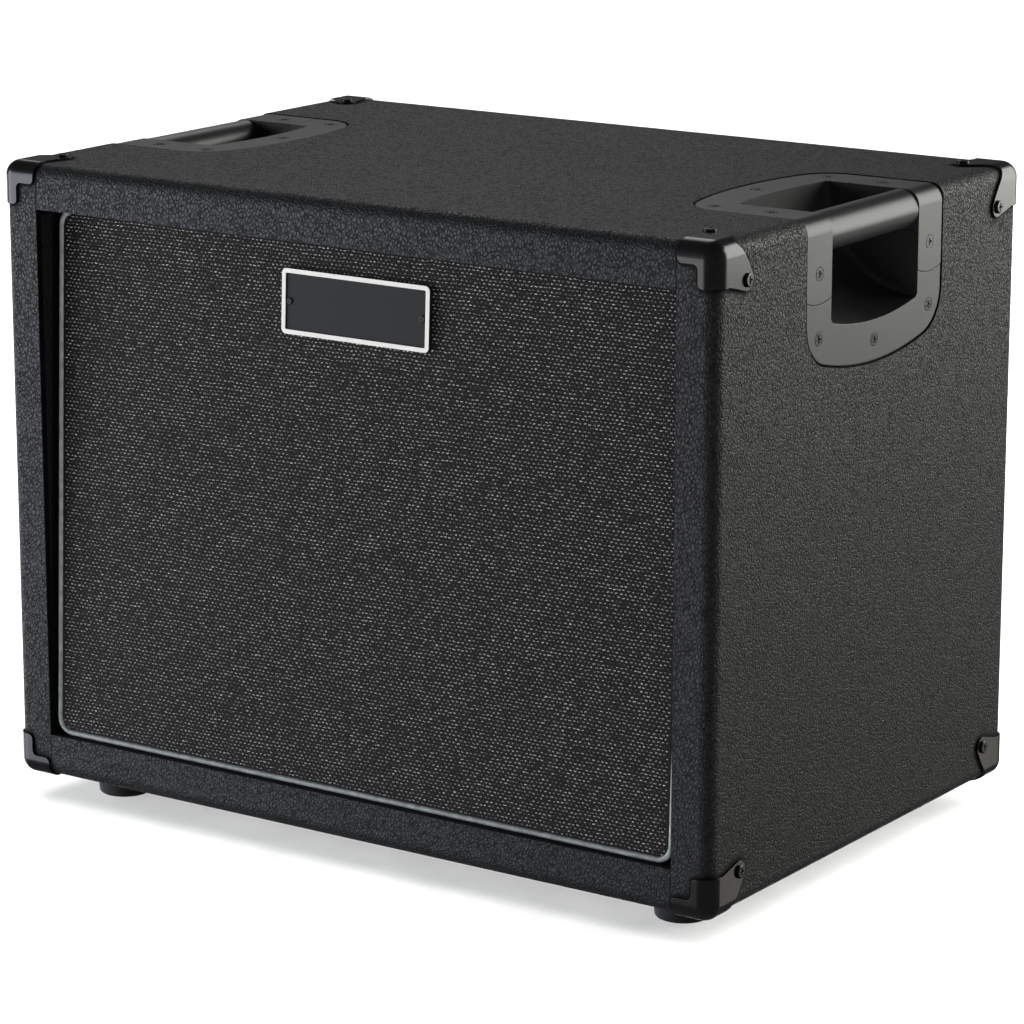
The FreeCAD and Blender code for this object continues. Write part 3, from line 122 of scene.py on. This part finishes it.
birch = mottled("birch plywood, sawn", ("#a98757", "#cfb383"), 1.6 * MM, (0.55, 0.7), 0.08 * MM,
                stretch=(0.06, 1, 1))
dress(birch, "top_panel", "bottom_panel", "front_top_trim", "front_bottom_trim", "grille_frame")
birch_upright = mottled("birch plywood, sawn, upright", ("#a98757", "#cfb383"), 1.6 * MM, (0.55, 0.7),
                        0.08 * MM, stretch=(1, 1, 0.06))
dress(birch_upright, "left_side_panel", "right_side_panel", "front_left_trim", "front_right_trim")
pine = mottled("pine batten, planed", ("#b98f55", "#dcbb84"), 3 * MM, (0.5, 0.65), 0.1 * MM,
               stretch=(1, 1, 0.08))
dress(pine, "back_battens", "baffle_battens")

# Baffle
# The slanted plywood board that carries the driver, brushed matt black so that it doesn't show through
# the cloth, and screwed to its battens from the front.
black_brushed = mottled("plywood, brushed matt black", ("#0d0d0d", "#191919"), 2.2 * MM, (0.7, 0.85),
                        0.12 * MM, stretch=(0.08, 1, 1))
dress(black_brushed, "baffle")

# Loudspeaker
# A twelve-inch driver: a pressed and enamelled steel basket, a sintered ferrite ring between zinc plated
# plates, and a pressed paper cone on a treated cloth edge and spider.
enamel = mottled("grey enamel on pressed steel", ("#4b4d4f", "#5d5f61"), 1.2 * MM, (0.3, 0.42), 0.03 * MM)
dress(enamel, "speaker_frame")
ferrite = mottled("sintered ferrite", ("#232325", "#3a3a3c"), 0.8 * MM, (0.55, 0.75), 0.05 * MM)
dress(ferrite, "magnet")
zinc = mottled("zinc plated steel", ("#a9a695", "#c6c3b4"), 4 * MM, (0.28, 0.42), 0.02 * MM, metallic=1.0)
dress(zinc, "top_plate", "pole_piece", "speaker_bolts", "speaker_tee_nuts")
paper = mottled("pressed black paper", ("#141312", "#262423"), 0.9 * MM, (0.75, 0.9), 0.08 * MM)
dress(paper, "cone", "dust_cap")
doped_cloth = mottled("resin treated cloth", ("#3b2715", "#5c3f22"), 0.7 * MM, (0.45, 0.65), 0.1 * MM)
dress(doped_cloth, "surround", "spider")
gasket_board = mottled("compressed paper gasket", ("#6f5a43", "#8d755a"), 0.8 * MM, (0.75, 0.9), 0.06 * MM)
dress(gasket_board, "speaker_gasket")
winding = mottled("enamelled copper wire", ("#8a3f1d", "#c4703a"), 0.25 * MM, (0.25, 0.4), 0.08 * MM,
                  metallic=1.0, stretch=(0.02, 1, 0.02))
dress(winding, "voice_coil")

# Terminals and leads
# A brown paper-laminate board with tinned tags, and two insulated leads from the jack: PVC over copper,
# soldered at both ends.
laminate = mottled("paper laminate", ("#4a2c14", "#6b4420"), 1.5 * MM, (0.35, 0.5), 0.02 * MM)
dress(laminate, "terminal_board")
red_pvc = mottled("red PVC sleeving", ("#7d1210", "#96201b"), 2 * MM, (0.35, 0.48), 0.02 * MM)
dress(red_pvc, "speaker_lead_red")
black_pvc = mottled("black PVC sleeving", ("#0f0f10", "#1b1b1c"), 2 * MM, (0.35, 0.48), 0.02 * MM)
dress(black_pvc, "speaker_lead_black")

# Vinyl covering
# Cloth-backed vinyl glued over the shell and turned in round the front opening and the back rim.
# It is embossed with a levant grain: a satin skin with fine dark creases that wander two or three
# millimetres apart.
PEBBLE = 1.9 * MM
PEBBLE_LENGTH = 1.6
PEBBLE_LEAN = 0.35
PEBBLE_DRIFT = 1.1 * MM
DRIFT_GRAIN = 1.6 * PEBBLE
CREASE = 0.22
CREASE_FADE = 3.5 * MM
CREASE_DEPTH = (0.4, 0.72)
PORE = 0.5 * MM
PORE_SHARE = 0.12
VINYL_RELIEF = 0.4 * MM
# The next is how far the painted shade next to a fitting reaches.
PAINTED_SHADE_REACH = 5 * MM
SEAM = 0.55 * MM
SEAM_INSET = 0.8 * MM
FRONT_STRIP = 4 * MM
shell_low, shell_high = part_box("vinyl_covering")
seam_x = -(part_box("front_left_trim")[1].x + SEAM_INSET)
shell_middle = (shell_low.z + shell_high.z) / 2

# The creases run along the edges of drawn-out cells, and vary in depth.
# Besides their relief, they are darkened in the colour: painted shade in the creases.
vinyl, vinyl_shader, vinyl_place = new_finish("levant grain vinyl", gleam=0.34)
drift = add(vinyl, "ShaderNodeTexNoise", {"Vector": vinyl_place, "Scale": 1 / DRIFT_GRAIN, "Detail": 1.0})
wandering = add(vinyl, "ShaderNodeVectorMath",
                {0: drift.outputs["Color"], 1: [PEBBLE_DRIFT] * 3, 2: vinyl_place}, operation="MULTIPLY_ADD")
drawn = add(vinyl, "ShaderNodeMapping",
            {"Vector": wandering.outputs["Vector"], "Scale": (1, 1, PEBBLE_LENGTH),
             "Rotation": (PEBBLE_LEAN, PEBBLE_LEAN, 0)}, vector_type="TEXTURE")
pebbles = add(vinyl, "ShaderNodeTexVoronoi", {"Vector": drawn.outputs["Vector"], "Scale": 1 / PEBBLE},
              feature="DISTANCE_TO_EDGE")
sunk = add(vinyl, "ShaderNodeMapRange",
           {"Value": pebbles.outputs["Distance"], "From Max": CREASE, "To Min": -1.0, "To Max": 0.0},
           interpolation_type="SMOOTHSTEP")
fading = add(vinyl, "ShaderNodeTexNoise", {"Vector": vinyl_place, "Scale": 1 / CREASE_FADE, "Detail": 1.0})
how_deep = add(vinyl, "ShaderNodeMapRange",
               {"Value": fading.outputs["Fac"], "From Min": 0.36, "From Max": 0.6,
                "To Min": CREASE_DEPTH[0], "To Max": CREASE_DEPTH[1]})
creased = add(vinyl, "ShaderNodeMath", {0: sunk.outputs["Result"], 1: how_deep.outputs["Result"], 2: 1.0},
              operation="MULTIPLY_ADD")
pores = add(vinyl, "ShaderNodeTexNoise", {"Vector": vinyl_place, "Scale": 1 / PORE, "Detail": 3.0})
skin = add(vinyl, "ShaderNodeMath", {0: pores.outputs["Fac"], 1: PORE_SHARE, 2: creased.outputs[0]},
           operation="MULTIPLY_ADD")

# On the front, a fine seam crosses the top and bottom rails in line with the inner edges of the side rails.
# Ambient occlusion paints shade on the skin near a fitting: there its colour is darkened, and its grain is
# flattened and dulled.
axes = add(vinyl, "ShaderNodeSeparateXYZ", {"Vector": vinyl_place})
from_middle = add(vinyl, "ShaderNodeMath", {0: axes.outputs["X"]}, operation="ABSOLUTE")
off_seam = add(vinyl, "ShaderNodeMath", {0: from_middle.outputs[0], 1: seam_x}, operation="SUBTRACT")
seam_line = add(vinyl, "ShaderNodeMath", {0: off_seam.outputs[0]}, operation="ABSOLUTE")
clear_of_line = add(vinyl, "ShaderNodeMapRange", {"Value": seam_line.outputs[0], "From Max": SEAM},
                    interpolation_type="SMOOTHSTEP")
behind_front = add(vinyl, "ShaderNodeMath", {0: axes.outputs["Y"], 1: shell_low.y + FRONT_STRIP},
                   operation="GREATER_THAN")
no_seam = add(vinyl, "ShaderNodeMath", {0: clear_of_line.outputs["Result"], 1: behind_front.outputs[0]},
              operation="MAXIMUM")
# Ambient occlusion within a few millimetres of a fitting: painted shade in the vinyl's colour.
painted_shade_occlusion = add(vinyl, "ShaderNodeAmbientOcclusion", {"Distance": PAINTED_SHADE_REACH}, samples=8)
clear_of_painted_shade = add(vinyl, "ShaderNodeMapRange",
                {"Value": painted_shade_occlusion.outputs["AO"], "From Min": 0.9, "From Max": 0.98, "To Min": 0.0})
# This holds the seam line and the painted shade near fittings together; the grain below carries both, as well
# as the creases.
pressed = add(vinyl, "ShaderNodeMath", {0: no_seam.outputs[0], 1: clear_of_painted_shade.outputs["Result"]},
              operation="MULTIPLY")
grain = add(vinyl, "ShaderNodeMath", {0: skin.outputs[0], 1: pressed.outputs[0]}, operation="MULTIPLY")
coat(vinyl, vinyl_shader, grain.outputs[0], ("#040404", "#191a1b"), (0.95, 0.44), VINYL_RELIEF,
     spread=(0.1, 1.0))
dress(vinyl, "vinyl_covering")

# Back panel
# A closed board let into the rear rim, rolled with a black textured paint and screwed to the battens.
# The roller leaves a fine dull stipple.
textured_paint = mottled("black textured paint", ("#0c0c0d", "#1d1d1e"), 1.3 * MM, (0.55, 0.75), 0.22 * MM)
dress(textured_paint, "back_panel")

# Jack
# A black lacquered steel plate with a nylon socket behind it, held by a nickel plated nut.
lacquer = mottled("black lacquered steel", ("#121213", "#1c1c1d"), 0.9 * MM, (0.3, 0.42), 0.03 * MM)
dress(lacquer, "jack_plate")
nylon = mottled("black nylon", ("#101011", "#1b1b1c"), 1.1 * MM, (0.4, 0.55), 0.03 * MM)
dress(nylon, "jack_socket")
nickel = mottled("nickel plated brass", ("#a7a49a", "#c9c6bd"), 3 * MM, (0.18, 0.3), 0.01 * MM, metallic=1.0)
dress(nickel, "jack_nut", "jack_contacts")

# Screws
# Steel screws with a cross recess. Those that hold the boards are blackened in a hot oxide bath, dark and
# faintly brown; those in the fittings are plated with black nickel and shine more.
oxide = mottled("black oxide steel", ("#141312", "#232221"), 1.4 * MM, (0.28, 0.42), 0.02 * MM, metallic=0.6)
dress(oxide, "back_panel_screws", "baffle_screws", "badge_screws", "foot_screws", "jack_plate_screws")
black_nickel = mottled("black nickel plated steel", ("#2e2d2c", "#4c4b4a"), 1.4 * MM, (0.22, 0.34),
                       0.02 * MM, metallic=1.0, edge=0.25 * MM)
dress(black_nickel, "corner_screws", "handle_screws")

# Grille cloth
# A woven speaker cloth, stretched over the wooden frame and stapled behind it: black yarn with a silver
# thread that floats over it in short dashes, in staggered rows.
slant = math.atan2(frame["joints"][0]["axis"][2], -frame["joints"][0]["axis"][1])
CLOTH = 0.6 * MM
CLOTH_WALL = CLOTH * 0.9
CLOTH_CORNER = 7.4 * MM
CLOTH_WRAP = 12 * MM
cloth_low, cloth_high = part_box("grille_cloth")
cloth_w = cloth_high.x - cloth_low.x
wrap_rise = (CLOTH + CLOTH_WRAP) * math.sin(slant)
cloth_h = (cloth_high.z - cloth_low.z - wrap_rise) / math.cos(slant)
grille_face = cloth_low.y + CLOTH * math.cos(slant) + cloth_h / 2 * math.sin(slant)
grille_pivot = (0.0, grille_face, shell_middle)


def lean_back(piece):
    """Leans a piece that was modelled upright back with the grille, and settles it in its mesh."""
    bpy.ops.object.select_all(action="DESELECT")
    piece.select_set(True)
    bpy.context.view_layer.objects.active = piece
    piece.rotation_euler = (-slant, 0, 0)
    piece.location = grille_pivot
    bpy.ops.object.transform_apply(location=True, rotation=True, scale=True)


bpy.ops.mesh.primitive_plane_add(size=1, location=(0, -CLOTH / 2, 0), rotation=(math.pi / 2, 0, 0))
cloth = bpy.context.object
cloth.name = "grille_cloth_sheet"
cloth.scale = (cloth_w - CLOTH, cloth_h - CLOTH, 1)
bpy.ops.object.transform_apply(location=True, rotation=True, scale=True)
bpy.ops.object.mode_set(mode="EDIT")
bpy.ops.mesh.select_all(action="SELECT")
bpy.ops.mesh.bevel(offset=CLOTH_CORNER, segments=8, affect="VERTICES")
bpy.ops.mesh.select_all(action="SELECT")
bpy.ops.mesh.region_to_loop()
bpy.ops.mesh.extrude_region_move(TRANSFORM_OT_translate={"value": (0, CLOTH_WRAP + CLOTH / 2, 0)})
bpy.ops.mesh.select_all(action="SELECT")
bpy.ops.mesh.normals_make_consistent(inside=False)
bpy.ops.object.mode_set(mode="OBJECT")
wall = cloth.modifiers.new("thickness", "SOLIDIFY")
wall.thickness = CLOTH_WALL
wall.offset = 0
bpy.ops.object.modifier_apply(modifier="thickness")
lean_back(cloth)

# The weave's two waves cross as weft and warp. A wave of scale 1 repeats every 0.314 m.
YARN = 1.5 * MM
YARN_SCALE = 0.314 / YARN
woven, woven_shader, woven_place = new_finish("black woven speaker cloth")
weft = add(woven, "ShaderNodeTexWave",
           {"Vector": woven_place, "Scale": YARN_SCALE, "Distortion": 1.2, "Detail Scale": 3.0},
           bands_direction="Z")
warp = add(woven, "ShaderNodeTexWave",
           {"Vector": woven_place, "Scale": YARN_SCALE, "Distortion": 1.2, "Detail Scale": 3.0},
           bands_direction="X")
crossing = add(woven, "ShaderNodeMath", {0: weft.outputs["Fac"], 1: warp.outputs["Fac"]},
               operation="MULTIPLY")
coat(woven, woven_shader, crossing.outputs[0], ("#070605", "#221e1a"), (0.9, 0.75), 0.3 * MM,
     spread=(0.1, 0.9))
cloth.data.materials.append(woven)

# The silver thread's floats: one dash is modelled, paired with its staggered neighbour and repeated, and
# each is then shifted a little, as a loose yarn lies. None is left under the badge or past the round corners.
FLOAT_PITCH = 2.9 * MM
ROW_PITCH = 2.1 * MM
FLOAT = (1.4 * MM, 0.34 * MM, 0.52 * MM)
FLOAT_SINK = 0.06 * MM
FLOAT_RIDGE = 0.5
FLOAT_LENGTHS = (0.7, 1.25)
FLOAT_TILTS = (-0.35, 0.25)
LOOSE = (0.36 * MM, 0.03 * MM, 0.22 * MM)
ROW_WANDER = 0.2 * MM
LONG_WAVE = (11 * MM, 7 * MM)
SHORT_WAVE = (4.3 * MM, 3.1 * MM)
SHORT_SHARE = 0.6
EDGE_CLEAR = 0.6 * MM
SEED = 7
columns = int((cloth_w - 2 * EDGE_CLEAR) / FLOAT_PITCH)
row_pairs = round((cloth_h - 2 * EDGE_CLEAR) / (2 * ROW_PITCH))
row_pitch = (cloth_h - 2 * EDGE_CLEAR) / (2 * row_pairs)
first_x = -columns * FLOAT_PITCH / 2 + FLOAT_PITCH / 4
first_z = -(row_pairs - 0.5) * row_pitch
bpy.ops.object.select_all(action="DESELECT")
bpy.ops.mesh.primitive_cube_add(size=1, location=(first_x, -CLOTH - FLOAT[1] / 2 + FLOAT_SINK, first_z))
floats = bpy.context.object
floats.name = "grille_cloth_silver_thread"
floats.scale = FLOAT
bpy.ops.object.transform_apply(location=True, rotation=True, scale=True)
bpy.ops.object.mode_set(mode="EDIT")
bpy.ops.mesh.select_mode(type="VERT")
bpy.ops.mesh.select_all(action="DESELECT")
bpy.ops.object.mode_set(mode="OBJECT")
for vertex in floats.data.vertices:
    vertex.select = vertex.co.y < -CLOTH - FLOAT[1] / 2
bpy.ops.object.mode_set(mode="EDIT")
bpy.ops.transform.resize(value=(FLOAT_RIDGE, 1, 0.0))
bpy.ops.mesh.select_all(action="SELECT")
bpy.ops.mesh.remove_doubles(threshold=0.01 * MM)
bpy.ops.mesh.duplicate_move(TRANSFORM_OT_translate={"value": (FLOAT_PITCH / 2, 0, row_pitch)})
bpy.ops.object.mode_set(mode="OBJECT")
one_float = len(floats.data.vertices) // 2
repeats = (("across", columns, (FLOAT_PITCH, 0, 0)), ("up", row_pairs, (0, 0, 2 * row_pitch)))
for label, count, step in repeats:
    rows = floats.modifiers.new(label, "ARRAY")
    rows.count = count
    rows.use_relative_offset = False
    rows.use_constant_offset = True
    rows.constant_offset_displace = step
    bpy.ops.object.modifier_apply(modifier=label)

points = np.zeros(len(floats.data.vertices) * 3, np.float32)
floats.data.vertices.foreach_get("co", points)
points = points.reshape(-1, one_float, 3)
x, z = points[:, :, 0].mean(axis=1), points[:, :, 2].mean(axis=1)
chance = np.random.default_rng(SEED)
shift = chance.uniform(-1, 1, (len(points), 3)) * LOOSE
long_wave = np.sin(x / LONG_WAVE[0] + z / LONG_WAVE[1])
short_wave = np.sin(x / SHORT_WAVE[0] - z / SHORT_WAVE[1])
shift[:, 2] += ROW_WANDER * (long_wave + SHORT_SHARE * short_wave)
middles = points.mean(axis=1, keepdims=True)
lengths = chance.uniform(*FLOAT_LENGTHS, (len(points), 1))
tilts = chance.uniform(*FLOAT_TILTS, (len(points), 1))
along = (points - middles)[:, :, 0]
points[:, :, 0] = middles[:, :, 0] + along * lengths
points[:, :, 2] += along * tilts
points += shift[:, None, :]
floats.data.vertices.foreach_set("co", points.ravel())
badge_low, badge_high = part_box("badge_plate")
badge_z = ((badge_low.z + badge_high.z) / 2 - shell_middle) / math.cos(slant)
badge_half = (badge_high.z - badge_low.z) / 2
under_badge = (abs(x) < badge_high.x - FLOAT[0]) & (abs(z - badge_z) < badge_half - FLOAT[0])
past_x = np.maximum(abs(x) - cloth_w / 2 + CLOTH_CORNER, 0)
past_z = np.maximum(abs(z) - cloth_h / 2 + CLOTH_CORNER, 0)
past_corner = np.hypot(past_x, past_z) > CLOTH_CORNER - EDGE_CLEAR
bpy.ops.object.mode_set(mode="EDIT")
bpy.ops.mesh.select_all(action="DESELECT")
bpy.ops.object.mode_set(mode="OBJECT")
floats.data.vertices.foreach_set("select", np.repeat(under_badge | past_corner, one_float))
bpy.ops.object.mode_set(mode="EDIT")
bpy.ops.mesh.delete(type="VERT")
bpy.ops.object.mode_set(mode="OBJECT")
bpy.ops.object.shade_smooth()
lean_back(floats)

# Noise paints some dashes near white and others dark: painted glints and dull patches of a thread that turns
# as it lies.
PAINTED_GLINT_SIZE = 2.2 * MM
silver, silver_shader, silver_place = new_finish("silver metallised thread")
painted_glints = add(silver, "ShaderNodeTexNoise", {"Vector": silver_place, "Scale": 1 / PAINTED_GLINT_SIZE, "Detail": 1.0})
coat(silver, silver_shader, painted_glints.outputs["Fac"], ("#292624", "#dcd7d0"), (0.5, 0.35), 0.02 * MM,
     spread=(0.34, 0.66))
floats.data.materials.append(silver)
for piece in (cloth, floats):
    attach(piece, "cabinet")
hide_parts("grille_cloth")

# Grille piping
# A round grey PVC cord, extruded, run along the frame's edge and butted at the bottom. Its smooth skin has
# a dull sheen.
grey_pvc = mottled("grey PVC piping", ("#777c7b", "#969b99"), 5 * MM, (0.36, 0.48), 0.03 * MM)
dress(grey_pvc, "grille_piping")

# Grille pads
# Hook and loop tape, stuck to the frame and to the baffle, that lets the grille pull off.
loop_tape = mottled("nylon hook and loop tape", ("#0a0a0a", "#1f1f1f"), 0.6 * MM, (0.85, 0.95), 0.4 * MM)
dress(loop_tape, "grille_fastener_pads")

# Badge
# An injection moulded plate with a raised border. The field is dark grey and the border's top is printed
# white; the plate is bare otherwise.
BADGE_FIELD = 3.0 * MM
BADGE_RELIEF = 0.9 * MM
PRINT_LEVEL = BADGE_FIELD + 0.6 * BADGE_RELIEF
SPECKLE = 0.5 * MM
SPECKLE_SHARE = 0.12
badge, badge_shader, badge_place = new_finish("moulded plate with a printed border", ior=1.49, gleam=0.25)
upright = add(badge, "ShaderNodeMapping",
              {"Vector": badge_place, "Location": grille_pivot, "Rotation": (-slant, 0, 0)},
              vector_type="TEXTURE")
depth = add(badge, "ShaderNodeSeparateXYZ", {"Vector": upright.outputs["Vector"]})
raised = add(badge, "ShaderNodeMath", {0: depth.outputs["Y"], 1: -PRINT_LEVEL}, operation="LESS_THAN")
speckle = add(badge, "ShaderNodeTexNoise", {"Vector": badge_place, "Scale": 1 / SPECKLE, "Detail": 3.0})
print_or_field = add(badge, "ShaderNodeMath",
                     {0: speckle.outputs["Fac"], 1: SPECKLE_SHARE, 2: raised.outputs[0]},
                     operation="MULTIPLY_ADD")
coat(badge, badge_shader, print_or_field.outputs[0], ("#171718", "#d2d0cb"), (0.6, 0.4), 0.015 * MM,
     spread=(0.12, 1.0))
dress(badge, "badge_plate")

# Corner protectors
# Pressed steel shells, lacquered satin black and screwed over the eight corners. The lacquer is smooth and
# takes a soft highlight along each rounded edge.
corner_lacquer = mottled("satin black lacquer on pressed steel", ("#0b0b0c", "#141415"), 0.8 * MM,
                         (0.2, 0.27), 0.006 * MM, edge=0.4 * MM, gleam=0.42)
corner_names = [f"{end}_{level}_{side}_corner"
                for end in ("front", "rear") for level in ("top", "bottom") for side in ("left", "right")]
dress(corner_lacquer, *corner_names)

# Corner handles
# Moulded ABS: a cup let into the top edge and a grip screwed over it. A fine spark-eroded texture leaves
# both satin, with a soft light along the bar.
moulded_abs = mottled("satin moulded ABS", ("#1d1d1e", "#282829"), 0.45 * MM, (0.34, 0.44), 0.03 * MM,
                      edge=0.5 * MM)
dress(moulded_abs, "left_handle_grip", "right_handle_grip")
cup_abs = mottled("matt moulded ABS", ("#1d1d1e", "#282829"), 0.45 * MM, (0.36, 0.46), 0.03 * MM,
                  edge=0.5 * MM)
dress(cup_abs, "left_handle_cup", "right_handle_cup")

# Feet
# Moulded black rubber, slightly bloomed, each held by one screw in its recess.
rubber = mottled("black rubber", ("#0b0b0b", "#171716"), 1.1 * MM, (0.65, 0.8), 0.06 * MM)
dress(rubber, *[f"{end}_{side}_foot" for end in ("front", "rear") for side in ("left", "right")])

# Studio
# A plain pale floor, just below the feet, soft boxes to the left, to the right and behind, and the camera
# where the picture was taken.
FLOOR_RADIUS = 14
FLOOR_DROP = 0.2 * MM
bpy.ops.object.select_all(action="DESELECT")
bpy.ops.mesh.primitive_circle_add(vertices=96, radius=FLOOR_RADIUS, fill_type="NGON",
                                  location=(0, 0, -FLOOR_DROP))
floor = bpy.context.object
floor.name = "studio_floor"
bpy.ops.object.transform_apply(location=True, rotation=True, scale=True)
pale = mottled("pale studio paper", ("#f2f2f1", "#fafaf9"), 40 * MM, (0.85, 0.95), 0.01 * MM)
floor.data.materials.append(pale)
floor.visible_glossy = False
floor.visible_shadow = False

# The wall round the floor is only there to be seen, so that low views end in the same pale tone.
WALL_RADIUS = 13
WALL_HEIGHT = 26
bpy.ops.mesh.primitive_cylinder_add(vertices=96, radius=WALL_RADIUS, depth=WALL_HEIGHT,
                                    end_fill_type="NOTHING", location=(0, 0, 0))
backdrop = bpy.context.object
backdrop.name = "studio_backdrop"
white_wall = bpy.data.materials.new("evenly lit white wall")
white_wall.use_nodes = True
wall_shader = white_wall.node_tree.nodes["Principled BSDF"]
wall_shader.inputs["Base Color"].default_value = linear("#000000")
wall_shader.inputs["Specular IOR Level"].default_value = 0.0
wall_shader.inputs["Emission Color"].default_value = linear("#ffffff")
wall_shader.inputs["Emission Strength"].default_value = 1.0
backdrop.data.materials.append(white_wall)
backdrop.visible_diffuse = False
backdrop.visible_glossy = False
backdrop.visible_shadow = False

# Each soft box has its place, side in metres, power in watts and tint, and faces the cabinet's middle. The
# floor casts no shadow, so the boxes below it light the lower faces as its bounce would.
aim = (0, 0, 0.19)
boxes = {
    "left_box": ((-1.6, -1.17, 0.16), 1.4, 32, "#ecf1fc"),
    "right_box": ((1.1, 1.35, 0.66), 1.3, 29, "#fdfcf6"),
    "rear_box": ((-1.15, 1.35, 1.8), 1.2, 9, "#fcfdfb"),
    "right_low_box": ((1.13, 1.55, -0.55), 0.42, 0.8, "#fff8ee"),
    "strip_box": ((-0.75, -1.6, -0.12), 0.5, 3.3, "#ffffff"),
    "back_box": ((-0.9, 1.9, -0.5), 1.4, 16, "#ffffff"),
    "flank_box": ((-2.0, 0.7, -0.5), 1.4, 16, "#ffffff"),
}
for name, (spot, side, power, tint) in boxes.items():
    lamp = bpy.data.lights.new(name, "AREA")
    lamp.size = side
    lamp.energy = power
    lamp.color = linear(tint)[:3]
    holder = bpy.data.objects.new(name, lamp)
    bpy.context.scene.collection.objects.link(holder)
    holder.location = spot
    toward = np.array(aim) - np.array(spot)
    level = math.hypot(toward[0], toward[1])
    turn = math.atan2(toward[1], toward[0]) - math.pi / 2
    holder.rotation_euler = (math.atan2(level, -toward[2]), 0, turn)

# The floor has lamps of its own, so that it stays pale and only a faint shadow lies under the cabinet.
SKY_ANGLE = 80
lit_floor = bpy.data.collections.new("lit_floor")
lit_floor.objects.link(floor)
for name, energy, casts in (("overhead", 1.3, True), ("overhead_fill", 3.1, False)):
    sky = bpy.data.lights.new(name, "SUN")
    sky.energy = energy
    sky.angle = math.radians(SKY_ANGLE)
    sky.use_shadow = casts
    holder = bpy.data.objects.new(name, sky)
    bpy.context.scene.collection.objects.link(holder)
    holder.light_linking.receiver_collection = lit_floor

world = bpy.data.worlds.new("studio_air")
world.use_nodes = True
air = world.node_tree.nodes["Background"]
air.inputs["Color"].default_value = linear("#d0d2d4")
air.inputs["Strength"].default_value = 0.12
bpy.context.scene.world = world
bpy.context.scene.view_settings.view_transform = "Standard"

# The camera's place is in metres, its angles in degrees and its lens in millimetres.
CAMERA_PLACE = (1.3084, -1.8990, 0.7434)
CAMERA_DOWN = 13.878
CAMERA_ROUND = 34.548
CAMERA_LENS = 143.27
camera_data = bpy.data.cameras.new("camera")
camera_data.lens = CAMERA_LENS
camera_data.sensor_width = 36
camera = bpy.data.objects.new("camera", camera_data)
bpy.context.scene.collection.objects.link(camera)
camera.location = CAMERA_PLACE
camera.rotation_euler = (math.radians(90 - CAMERA_DOWN), 0, math.radians(CAMERA_ROUND))
bpy.context.scene.camera = camera
